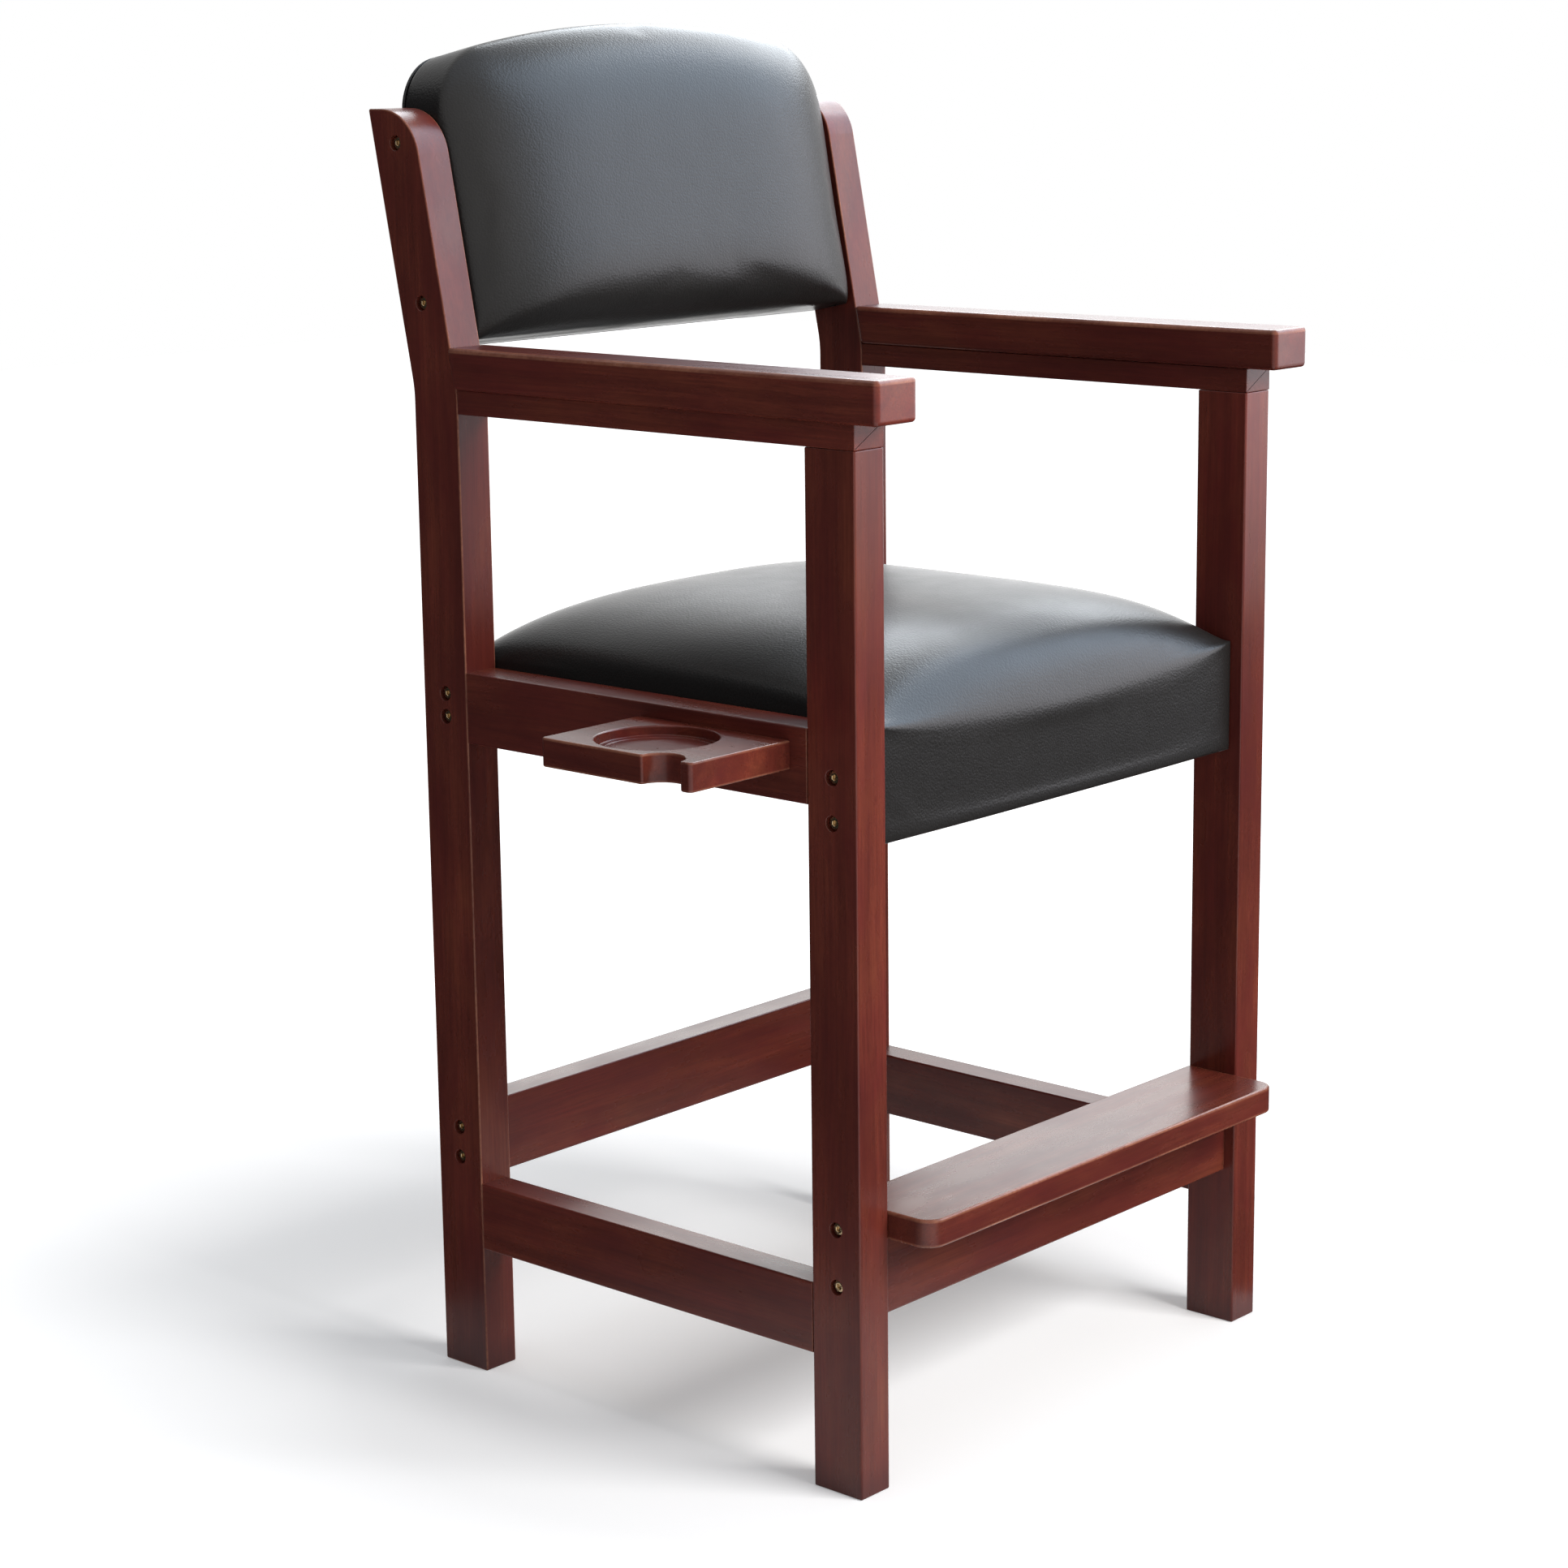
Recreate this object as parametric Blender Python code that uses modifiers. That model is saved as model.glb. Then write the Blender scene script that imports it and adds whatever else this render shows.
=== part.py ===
"""A tall spectator chair for a billiard room: two side frames, rails, footrest, padded seat and back.

The chair faces -Y and stands on the floor at Z = 0. Sizes are in metres. "Right" and "left" are the
sitter's, so the right side, which carries the drink holder, is at -X. While the pieces are made,
X = 0 is the middle of the chair and Y = 0 is the front faces of the front posts. At the end an
empty that carries them all moves, so that the origin is under the middle of the chair.
"""

import math

import bmesh
import bpy
from mathutils import Matrix, Vector

# Clearances
FIT_GAP = 0.0003
PAD_GAP = 0.0008
CUT_OVERRUN = 0.002

# Side frames
FRAME_WIDTH = 0.602
POST_THICKNESS = 0.038
FRONT_POST_DEPTH = 0.055
REAR_POST_DEPTH = 0.057
SIDE_RAIL_LENGTH = 0.417
ARM_RAIL_TOP = 0.941
BEND_DROP = 0.0025
LEAN_ANGLE = math.radians(11)
LEAN_RISE = 0.2515
REAR_POST_TOP_RADIUS = 0.048
POST_EDGE = 0.0018
BOARD_EDGE = 0.0015

# Rails and stretchers of the side frames
ARM_RAIL_THICKNESS = 0.022
SEAT_RAIL_BOTTOM = 0.615
SEAT_RAIL_HEIGHT = 0.066
SIDE_STRETCHER_BOTTOM = 0.1233
SIDE_STRETCHER_HEIGHT = 0.0652
SIDE_STRETCHER_THICKNESS = 0.031
TENON_THICKNESS_SHARE = 0.32
TENON_HEIGHT_SHARE = 0.70
TENON_WALL = 0.005
ARM_TENON_LENGTH_SHARE = 0.45

# Armrests
ARMREST_THICKNESS = 0.038
ARMREST_FRONT_OVERHANG = 0.034
ARMREST_INNER_OVERHANG = 0.0035
ARMREST_REAR_OVERHANG = 0.0057
ARMREST_TIP_OVERHANG = 0.0115
ARMREST_EDGE = 0.004

# Rails between the side frames
REAR_RAIL_THICKNESS = 0.030
FRONT_RAIL_THICKNESS = 0.0248
FRONT_RAIL_DROP = 0.0355
DECK_REBATE = 0.012
REAR_STRETCHER_BOTTOM = 0.1886
REAR_STRETCHER_HEIGHT = 0.0729
REAR_STRETCHER_THICKNESS = 0.0295
FRONT_STRETCHER_BOTTOM = 0.1558
FRONT_STRETCHER_HEIGHT = 0.0736
FRONT_STRETCHER_THICKNESS = 0.031

# Footrest
FOOTREST_THICKNESS = 0.0254
FOOTREST_PROJECTION = 0.048
FOOTREST_CORNER = 0.018

# Seat
DECK_THICKNESS = 0.009
SEAT_CROWN = 0.0665
SEAT_EDGE = 0.004
SEAT_FRONT_INSET = 0.0098
SEAT_REAR_SKIN = 0.003
SEAT_REAR_OVERHANG = 0.0134
SEAT_APRON_DROP = 0.0018
SEAT_SIDE_PULL = 0.003
SEAT_CORNER_SETBACK = 0.0015
SEAT_STATIONS = 20
SEAT_TOP_POINTS = 18
SEAT_FRONT_POINTS = 4
SEAT_WIDTH_POWER_SHARE = 2.86
SEAT_DEPTH_POWER_SHARE = 5.28
SEAT_ROUND_SHARE = 2.28

# Back, measured up the slope of the rear posts and square to it
BACK_BOTTOM = 0.0449
BACK_OVER_POST = 0.0759
BACK_ARCH_RISE = 0.031
BACK_SHOULDER_RADIUS = 0.058
BACK_REAR_SHOULDER_RADIUS = 0.046
BACK_REAR_INSET = 0.0005
BACK_COVER_THICKNESS = 0.003
BACK_BOARD_THICKNESS = 0.030
BACK_SKIN = 0.004
BACK_PAD_EDGE = 0.012
BACK_CROWN = 0.045
BACK_SIDE_PULL = 0.002
BACK_COLUMNS = 24
BACK_ROWS = 16
BACK_WIDTH_POWER_SHARE = 4.56
BACK_HEIGHT_POWER_SHARE = 4.37
BACK_ROUND_SHARE = 1.39

# Drink holder
HOLDER_TOP_INSET = 0.0124
HOLDER_THICKNESS = 0.0256
HOLDER_PROJECTION = 0.123
HOLDER_LENGTH = 0.1755
HOLDER_POST_GAP = 0.019
HOLDER_CORNER = 0.005
CUP_RADIUS = 0.0535
CUP_DEPTH = 0.009
CUP_RIM = 0.0018
CUP_DIMPLE = 0.0012
CUP_SIDE_SHARE = 0.504
CUP_LENGTH_SHARE = 0.545
NOTCH_RADIUS = 0.0213
NOTCH_LENGTH_SHARE = 0.197
NOTCH_REAR_CORNER = 0.003
PEG_RADIUS = 0.004
PEG_LENGTH = 0.012
PEG_PLACE_SHARES = (0.2, 0.8)

# Connector bolts and the threaded inserts that they screw into
BOLT_HEAD_RADIUS = 0.0066
BOLT_HEAD_HEIGHT = 0.0042
BOLT_HEAD_EDGE = 0.0008
BOLT_RADIUS = 0.003
BOLT_LENGTH = 0.049
SOCKET_WIDTH = 0.0045
SOCKET_DEPTH_SHARE = 0.7
COUNTERBORE_DEPTH = 0.0065
INSERT_RADIUS = 0.005
INSERT_LENGTH = 0.015
BOLT_SIDES = 16
SHANK_SIDES = 10

# Heights of the bolts, as shares of the height of the rail or panel that they hold
REAR_SEAT_BOLT_SHARES = (0.41, 0.81)
FRONT_SEAT_BOLT_SHARES = (0.255, 0.694)
REAR_STRETCHER_BOLT_SHARES = (0.291, 0.694)
FRONT_STRETCHER_BOLT_SHARES = (0.467,)
FOOTREST_BOLT_SHARES = (0.5,)
BACK_BOLT_SHARES = (0.142, 0.648)

SIDES = (("right", -1), ("left", 1))
ARC_STEPS = 6
EDGE_SEGMENTS = 2
SHARP_ANGLE = math.radians(30)

# Places that several pieces share
HALF_WIDTH = FRAME_WIDTH / 2
INNER_HALF = HALF_WIDTH - POST_THICKNESS
CLEAR_HALF = INNER_HALF - FIT_GAP
PAD_HALF = INNER_HALF - PAD_GAP
POST_MIDDLE = HALF_WIDTH - POST_THICKNESS / 2
REAR_FACE = FRONT_POST_DEPTH + SIDE_RAIL_LENGTH
FRONT_BOLT_Y = FRONT_POST_DEPTH / 2
REAR_BOLT_Y = REAR_FACE + REAR_POST_DEPTH / 2
BEND_HEIGHT = ARM_RAIL_TOP - BEND_DROP
REAR_POST_HEIGHT = BEND_HEIGHT + LEAN_RISE
ARM_RAIL_BOTTOM = ARM_RAIL_TOP - ARM_RAIL_THICKNESS
ARMREST_TOP = ARM_RAIL_TOP + ARMREST_THICKNESS
SEAT_RAIL_TOP = SEAT_RAIL_BOTTOM + SEAT_RAIL_HEIGHT
CROSS_RAIL_TOP = SEAT_RAIL_TOP - DECK_REBATE
FRONT_RAIL_BOTTOM = SEAT_RAIL_BOTTOM - FRONT_RAIL_DROP
DECK_TOP = CROSS_RAIL_TOP + FIT_GAP + DECK_THICKNESS
FRONT_STRETCHER_TOP = FRONT_STRETCHER_BOTTOM + FRONT_STRETCHER_HEIGHT
FOOTREST_BOTTOM = FRONT_STRETCHER_TOP + FIT_GAP
HOLE_RADIUS = BOLT_RADIUS + FIT_GAP
COUNTERBORE_RADIUS = BOLT_HEAD_RADIUS + FIT_GAP
LEAN_POST_DEPTH = REAR_POST_DEPTH * math.cos(LEAN_ANGLE)
BACK_HEIGHT = LEAN_RISE / math.cos(LEAN_ANGLE) + BACK_OVER_POST - BACK_BOTTOM
BACK_REAR = BACK_REAR_INSET - LEAN_POST_DEPTH
BACK_BOARD_REAR = BACK_REAR + BACK_COVER_THICKNESS + FIT_GAP
BACK_BOARD_FRONT = BACK_BOARD_REAR + BACK_BOARD_THICKNESS


def clear_scene():
    """Removes what the new file holds, and makes the two collections."""
    for old in list(bpy.data.objects):
        bpy.data.objects.remove(old)
    for name in ("billiard_spectator_chair", "cutters"):
        group = bpy.data.collections.new(name)
        bpy.context.scene.collection.children.link(group)


def make_material(name, color, roughness, metallic=0.0):
    material = bpy.data.materials.new(name)
    material.use_nodes = True
    shader = material.node_tree.nodes["Principled BSDF"]
    shader.inputs["Base Color"].default_value = (*color, 1)
    shader.inputs["Roughness"].default_value = roughness
    shader.inputs["Metallic"].default_value = metallic
    return material


def make_object(name, mesh, location=(0, 0, 0), turn=0.0, group="billiard_spectator_chair"):
    """A new object that stands at location, turned about Z, on the empty that carries the chair."""
    thing = bpy.data.objects.new(name, mesh)
    bpy.data.collections[group].objects.link(thing)
    thing.location = location
    thing.rotation_euler = (0, 0, turn)
    thing.parent = bpy.data.objects["chair_origin"]
    if group == "cutters":
        thing.hide_render = True
        thing.display_type = "WIRE"
    return thing


def finish_mesh(name, bm):
    bmesh.ops.recalc_face_normals(bm, faces=bm.faces)
    mesh = bpy.data.meshes.new(name)
    bm.to_mesh(mesh)
    bm.free()
    mesh.shade_smooth()
    mesh.set_sharp_from_angle(angle=SHARP_ANGLE)
    return mesh


def settled_mesh(source, name):
    """The evaluated mesh of an object, with its doubles merged. The object is removed."""
    bpy.context.view_layer.update()
    evaluated = source.evaluated_get(bpy.context.evaluated_depsgraph_get())
    flat = bpy.data.meshes.new_from_object(evaluated)
    bm = bmesh.new()
    bm.from_mesh(flat)
    bmesh.ops.remove_doubles(bm, verts=bm.verts, dist=FIT_GAP / 10)
    bmesh.ops.dissolve_limit(bm, angle_limit=SHARP_ANGLE / 60, verts=bm.verts, edges=bm.edges)
    bpy.data.objects.remove(source)
    return finish_mesh(name, bm)


def box_mesh(name, low, high, radius=0.0, along=None, free_end=None):
    """A box between two corners, about its own centre, with its long or all its edges rounded.

    along names the axis whose parallel edges are rounded, and None rounds every edge. free_end
    is a direction: the edges of the end on that side are rounded too.
    """
    size = Vector(high) - Vector(low)
    bm = bmesh.new()
    bmesh.ops.create_cube(bm, size=1.0)
    bmesh.ops.scale(bm, vec=size, verts=bm.verts)
    edges = list(bm.edges)
    if along is not None:
        axis = "XYZ".index(along)
        edges = [edge for edge in bm.edges if abs(edge_run(edge)[axis]) > size[axis] / 2]
    if free_end is not None:
        end = Vector(free_end)
        edges += [edge for edge in bm.edges if edge not in edges and on_end(edge, end, size)]
    if radius:
        bmesh.ops.bevel(
            bm, geom=edges, offset=radius, segments=EDGE_SEGMENTS, profile=0.5, affect="EDGES"
        )
    return finish_mesh(name, bm)


def edge_run(edge):
    return edge.verts[1].co - edge.verts[0].co


def on_end(edge, end, size):
    """True if both ends of an edge lie on the box's face that looks along end."""
    reach = abs(size.dot(end)) / 2
    return all(vert.co.dot(end) > reach / 2 for vert in edge.verts)


def add_board(name, low, high, material, radius=BOARD_EDGE, along=None, free_end=None):
    mesh = box_mesh(name, low, high, radius, along, free_end)
    board = make_object(name, mesh, (Vector(low) + Vector(high)) / 2)
    mesh.materials.append(material)
    return board


def modify(piece, cutter, operation):
    change = piece.modifiers.new(cutter.name, "BOOLEAN")
    change.operation = operation
    change.solver = "MANIFOLD"
    change.object = cutter
    return change


def cut_box(piece, low, high, name):
    """Cuts a box, a clearance wider than stated on each side, out of a piece."""
    margin = Vector((FIT_GAP, FIT_GAP, FIT_GAP))
    mesh = box_mesh(name, Vector(low) - margin, Vector(high) + margin)
    cutter = make_object(name, mesh, (Vector(low) + Vector(high)) / 2, group="cutters")
    modify(piece, cutter, "DIFFERENCE")


def add_tenon(piece, low, high, name):
    """Joins a box, which runs a little into the piece, to the piece."""
    mesh = box_mesh(name, low, high)
    tenon = make_object(name, mesh, (Vector(low) + Vector(high)) / 2, group="cutters")
    modify(piece, tenon, "UNION")


def cut_turned(piece, mesh, location, turn, name):
    cutter = make_object(name, mesh, location, turn, group="cutters")
    modify(piece, cutter, "DIFFERENCE")


def turned_mesh(name, profile, steps, closed=False):
    """A profile of (radius, height) pairs, from top to bottom, turned about Z."""
    mesh = bpy.data.meshes.new(f"{name}_profile")
    count = len(profile)
    edges = [(place, place + 1) for place in range(count - 1)]
    if closed:
        edges.append((count - 1, 0))
    mesh.from_pydata([(radius, 0, height) for radius, height in profile], edges, [])
    blank = make_object(name, mesh, group="cutters")
    screw = blank.modifiers.new("turn", "SCREW")
    screw.axis = "Z"
    screw.steps = steps
    screw.render_steps = steps
    screw.use_merge_vertices = True
    screw.merge_threshold = FIT_GAP / 10
    return settled_mesh(blank, name)


def lay_along_x(mesh):
    """Turns a mesh made about Z so that its top looks along +X."""
    mesh.transform(Matrix.Rotation(math.pi / 2, 4, "Y"))
    return mesh


def outline_mesh(name, outline, thickness, radius=0.0):
    """A flat outline in X and Y, thickened along Z about its own plane, with rounded rims."""
    curve = bpy.data.curves.new(name, "CURVE")
    curve.dimensions = "2D"
    curve.fill_mode = "BOTH"
    curve.extrude = thickness / 2
    spline = curve.splines.new("POLY")
    spline.points.add(len(outline) - 1)
    for point, (x, y) in zip(spline.points, outline):
        point.co = (x, y, 0, 1)
    spline.use_cyclic_u = True
    mesh = settled_mesh(make_object(name, curve, group="cutters"), name)
    if radius:
        bm = bmesh.new()
        bm.from_mesh(mesh)
        rims = [edge for edge in bm.edges if edge.calc_face_angle(0) > SHARP_ANGLE]
        bmesh.ops.bevel(
            bm, geom=rims, offset=radius, segments=EDGE_SEGMENTS, profile=0.5, affect="EDGES"
        )
        mesh = finish_mesh(name, bm)
    return mesh


def arc(center, radius, start, end, steps=ARC_STEPS):
    """Points on a circle from the angle start to the angle end."""
    angles = [start + (end - start) * step / steps for step in range(steps + 1)]
    return [(center[0] + radius * math.cos(a), center[1] + radius * math.sin(a)) for a in angles]


def up_the_slope(along, forward):
    """The Y and Z of a point that lies along the leaning post, and forward of its front face."""
    y = REAR_FACE + along * math.sin(LEAN_ANGLE) - forward * math.cos(LEAN_ANGLE)
    z = BEND_HEIGHT + along * math.cos(LEAN_ANGLE) + forward * math.sin(LEAN_ANGLE)
    return y, z


def shares_of(low, height, shares):
    return [low + height * share for share in shares]


def tenon_length(post_depth):
    """A tenon stops a wall short of the bolts, which run through the middle of the post."""
    return post_depth / 2 - HOLE_RADIUS - TENON_WALL


def add_front_post(side, sign, materials):
    middle = sign * POST_MIDDLE
    half = POST_THICKNESS / 2
    return add_board(
        f"{side}_front_post",
        (middle - half, 0, 0),
        (middle + half, FRONT_POST_DEPTH, ARM_RAIL_BOTTOM - FIT_GAP),
        materials["mahogany"],
        POST_EDGE,
    )


def add_rear_post(side, sign, materials):
    """Upright to the bend, then leaning back, with a large round at the top of its front face."""
    rise = REAR_POST_HEIGHT - BEND_HEIGHT
    shift = rise * math.tan(LEAN_ANGLE)
    rear = REAR_FACE + REAR_POST_DEPTH
    corner = math.pi / 2 + LEAN_ANGLE
    tangent = REAR_POST_TOP_RADIUS / math.tan(corner / 2)
    center = (REAR_FACE + shift + tangent, REAR_POST_HEIGHT - REAR_POST_TOP_RADIUS)
    outline = [(REAR_FACE, 0), (rear, 0), (rear, BEND_HEIGHT), (rear + shift, REAR_POST_HEIGHT)]
    outline += arc(center, REAR_POST_TOP_RADIUS, math.pi / 2, math.pi - LEAN_ANGLE, ARC_STEPS * 2)
    outline += [(REAR_FACE, BEND_HEIGHT)]
    name = f"{side}_rear_post"
    mesh = outline_mesh(name, outline, POST_THICKNESS, POST_EDGE)
    mesh.transform(Matrix(((0, 0, 1, 0), (1, 0, 0, 0), (0, 1, 0, 0), (0, 0, 0, 1))))
    mesh.materials.append(materials["mahogany"])
    return make_object(name, mesh, (sign * POST_MIDDLE, 0, 0))


def join_side_rail(rail, posts, sign, middle, thickness, low, height, ends):
    """Gives a side rail its tenons, and each post that takes one its mortise."""
    half = thickness * TENON_THICKNESS_SHARE / 2
    shoulder = height * (1 - TENON_HEIGHT_SHARE) / 2
    spans = {
        "front": (FRONT_POST_DEPTH - tenon_length(FRONT_POST_DEPTH), FRONT_POST_DEPTH + CUT_OVERRUN),
        "rear": (REAR_FACE - CUT_OVERRUN, REAR_FACE + tenon_length(REAR_POST_DEPTH)),
    }
    for end in ends:
        start, stop = spans[end]
        bottom = (sign * middle - half, start, low + shoulder)
        top = (sign * middle + half, stop, low + height - shoulder)
        add_tenon(rail, bottom, top, f"{rail.name}_{end}_tenon")
        cut_box(posts[end], bottom, top, f"{rail.name}_{end}_mortise")


def add_side_rails(side, sign, posts, materials):
    """The arm rail over the front post, the seat rail and the lower stretcher."""
    wood = materials["mahogany"]
    rails = {}
    rows = (
        ("arm_rail", 0, ARM_RAIL_BOTTOM, ARM_RAIL_THICKNESS, POST_THICKNESS, ("rear",)),
        (
            "seat_side_rail",
            FRONT_POST_DEPTH + FIT_GAP,
            SEAT_RAIL_BOTTOM,
            SEAT_RAIL_HEIGHT,
            POST_THICKNESS,
            ("front", "rear"),
        ),
        (
            "lower_side_stretcher",
            FRONT_POST_DEPTH + FIT_GAP,
            SIDE_STRETCHER_BOTTOM,
            SIDE_STRETCHER_HEIGHT,
            SIDE_STRETCHER_THICKNESS,
            ("front", "rear"),
        ),
    )
    for word, front, bottom, height, thickness, ends in rows:
        middle = HALF_WIDTH - thickness / 2
        low = (sign * middle - thickness / 2, front, bottom)
        high = (sign * middle + thickness / 2, REAR_FACE - FIT_GAP, bottom + height)
        free_end = (0, -1, 0) if word == "arm_rail" else None
        rail = add_board(f"{side}_{word}", low, high, wood, BOARD_EDGE, "Y", free_end)
        join_side_rail(rail, posts, sign, middle, thickness, bottom, height, ends)
        rails[word] = rail
    join_arm_to_post(posts["front"], rails["arm_rail"], sign)
    return rails


def join_arm_to_post(post, rail, sign):
    """A stub tenon on top of the front post stands in a mortise under the arm rail."""
    half = POST_THICKNESS * TENON_THICKNESS_SHARE / 2
    shoulder = FRONT_POST_DEPTH * (1 - TENON_HEIGHT_SHARE) / 2
    reach = ARM_RAIL_THICKNESS * ARM_TENON_LENGTH_SHARE
    low = (sign * POST_MIDDLE - half, shoulder, ARM_RAIL_BOTTOM - CUT_OVERRUN)
    high = (sign * POST_MIDDLE + half, FRONT_POST_DEPTH - shoulder, ARM_RAIL_BOTTOM + reach)
    add_tenon(post, low, high, f"{post.name}_tenon")
    cut_box(rail, low, high, f"{rail.name}_mortise")


def add_armrest(side, sign, materials):
    """A thick arm, a little wider at its tip, whose rear end is cut to the slope of the post."""
    bottom = ARM_RAIL_TOP + FIT_GAP
    inner = INNER_HALF - ARMREST_INNER_OVERHANG
    bm = bmesh.new()
    bmesh.ops.create_cube(bm, size=1.0)
    for vert in bm.verts:
        height = ARMREST_TOP if vert.co.z > 0 else bottom
        if vert.co.y > 0:
            outer = HALF_WIDTH + ARMREST_REAR_OVERHANG
            y = REAR_FACE - FIT_GAP + (height - BEND_HEIGHT) * math.tan(LEAN_ANGLE)
        else:
            outer = HALF_WIDTH + ARMREST_TIP_OVERHANG
            y = -ARMREST_FRONT_OVERHANG
        x = outer if vert.co.x > 0 else inner
        vert.co = (sign * x, y, height)
    bmesh.ops.recalc_face_normals(bm, faces=bm.faces)
    rear = [vert for vert in bm.verts if vert.co.y > REAR_FACE / 2]
    edges = [edge for edge in bm.edges if not (edge.verts[0] in rear and edge.verts[1] in rear)]
    bmesh.ops.bevel(
        bm, geom=edges, offset=ARMREST_EDGE, segments=EDGE_SEGMENTS + 1, profile=0.5, affect="EDGES"
    )
    name = f"{side}_armrest"
    mesh = finish_mesh(name, bm)
    mesh.materials.append(materials["mahogany"])
    return make_object(name, mesh)


def add_cross_rails(materials):
    """The four boards that tie the two side frames together."""
    rows = (
        ("rear_seat_rail", REAR_BOLT_Y, REAR_RAIL_THICKNESS, SEAT_RAIL_BOTTOM, CROSS_RAIL_TOP),
        ("front_seat_rail", FRONT_BOLT_Y, FRONT_RAIL_THICKNESS, FRONT_RAIL_BOTTOM, CROSS_RAIL_TOP),
        (
            "rear_lower_stretcher",
            REAR_BOLT_Y,
            REAR_STRETCHER_THICKNESS,
            REAR_STRETCHER_BOTTOM,
            REAR_STRETCHER_BOTTOM + REAR_STRETCHER_HEIGHT,
        ),
        (
            "front_lower_stretcher",
            FRONT_BOLT_Y,
            FRONT_STRETCHER_THICKNESS,
            FRONT_STRETCHER_BOTTOM,
            FRONT_STRETCHER_TOP,
        ),
    )
    rails = {}
    for name, middle, thickness, bottom, top in rows:
        low = (-CLEAR_HALF, middle - thickness / 2, bottom)
        high = (CLEAR_HALF, middle + thickness / 2, top)
        rails[name] = add_board(name, low, high, materials["mahogany"], BOARD_EDGE, "X")
    return rails


def add_footrest(materials):
    """A board between the front posts that lies on the front stretcher and stands out in front."""
    front = FOOTREST_CORNER - FOOTREST_PROJECTION
    side = CLEAR_HALF - FOOTREST_CORNER
    outline = [(CLEAR_HALF, FRONT_POST_DEPTH), (-CLEAR_HALF, FRONT_POST_DEPTH)]
    outline += arc((-side, front), FOOTREST_CORNER, math.pi, math.pi * 1.5)
    outline += arc((side, front), FOOTREST_CORNER, math.pi * 1.5, math.pi * 2)
    mesh = outline_mesh("footrest_board", outline, FOOTREST_THICKNESS, BOARD_EDGE)
    mesh.materials.append(materials["mahogany"])
    return make_object("footrest_board", mesh, (0, 0, FOOTREST_BOTTOM + FOOTREST_THICKNESS / 2))


def add_seat_deck(materials):
    front = FRONT_BOLT_Y - FRONT_RAIL_THICKNESS / 2
    rear = REAR_BOLT_Y + SEAT_REAR_OVERHANG - SEAT_REAR_SKIN - FIT_GAP
    low = (-PAD_HALF, front, CROSS_RAIL_TOP + FIT_GAP)
    high = (PAD_HALF, rear, DECK_TOP)
    return add_board("seat_deck", low, high, materials["plywood"], 0)


def crown(across, along, across_power, along_power, roundness):
    """How full a pad is, from 0 at its rim to 1 in the middle. across and along run from -1 to 1."""
    side = max(0.0, 1 - abs(across) ** across_power)
    end = max(0.0, 1 - abs(along) ** along_power)
    return (side * end) ** (1 / roundness)


def add_seat_cushion(materials):
    """The padded seat: a crowned top, an apron over the front rail and a skin behind the deck.

    Each station across the seat is one closed section, and the sections are joined in order.
    """
    front = SEAT_FRONT_INSET
    rear = REAR_BOLT_Y + SEAT_REAR_OVERHANG
    depth = rear - front
    under = DECK_TOP + FIT_GAP
    rim = under + SEAT_EDGE
    inner_front = FRONT_BOLT_Y - FRONT_RAIL_THICKNESS / 2 - FIT_GAP
    apron_low = FRONT_RAIL_BOTTOM - SEAT_APRON_DROP
    skin_low = CROSS_RAIL_TOP + FIT_GAP
    bm = bmesh.new()
    sections = []
    for station in range(SEAT_STATIONS + 1):
        across = math.sin(math.pi * (station / SEAT_STATIONS - 1 / 2))
        setback = SEAT_CORNER_SETBACK * across ** 8
        section = [(inner_front, apron_low), (front + setback + SEAT_APRON_DROP, apron_low)]
        for step in range(SEAT_FRONT_POINTS):
            share = step / SEAT_FRONT_POINTS
            lift = apron_low + SEAT_APRON_DROP
            section.append((front + setback, lift + (rim - lift) * share))
        for step in range(SEAT_TOP_POINTS + 1):
            along = math.sin(math.pi * (step / SEAT_TOP_POINTS - 1 / 2))
            full = crown(
                across, along, SEAT_WIDTH_POWER_SHARE, SEAT_DEPTH_POWER_SHARE, SEAT_ROUND_SHARE
            )
            y = front + depth * (1 + along) / 2 + setback * (1 - along) / 2
            section.append((y, rim + (SEAT_CROWN - SEAT_EDGE) * full))
        section += [(rear, skin_low), (rear - SEAT_REAR_SKIN, skin_low)]
        section += [(rear - SEAT_REAR_SKIN, under), (inner_front, under)]
        ring = []
        for y, z in section:
            pull = SEAT_SIDE_PULL * (1 - ((y - front) / depth * 2 - 1) ** 2)
            ring.append(bm.verts.new((across * (PAD_HALF - max(0.0, pull)), y, z)))
        sections.append(ring)
    loft(bm, sections)
    mesh = finish_mesh("seat_cushion", bm)
    mesh.materials.append(materials["vinyl"])
    return make_object("seat_cushion", mesh)


def loft(bm, sections):
    """Joins closed rings of points in order, and closes both ends."""
    count = len(sections[0])
    for ring, after in zip(sections, sections[1:]):
        for place in range(count):
            further = (place + 1) % count
            bm.faces.new((ring[place], ring[further], after[further], after[place]))
    bm.faces.new(sections[0])
    bm.faces.new(sections[-1])


def back_top(x, half, radius):
    """The height of the back's arched top at x, above its bottom edge, rounded at the shoulders."""
    arch_radius = (PAD_HALF ** 2 + BACK_ARCH_RISE ** 2) / (2 * BACK_ARCH_RISE)
    sag = arch_radius - math.sqrt(arch_radius ** 2 - x ** 2)
    over = max(0.0, abs(x) - (half - radius))
    return BACK_HEIGHT - sag - (radius - math.sqrt(max(0.0, radius ** 2 - over ** 2)))


def back_outline(inset, shoulder):
    """The back's outline, drawn in by inset all round, in X and in height above the back's bottom."""
    half = PAD_HALF - inset
    radius = shoulder - inset
    outline = [(-half, inset), (half, inset)]
    for station in range(BACK_COLUMNS + 1):
        x = half * math.cos(math.pi * station / BACK_COLUMNS)
        outline.append((x, back_top(x, half, radius) - inset))
    return outline


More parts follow.
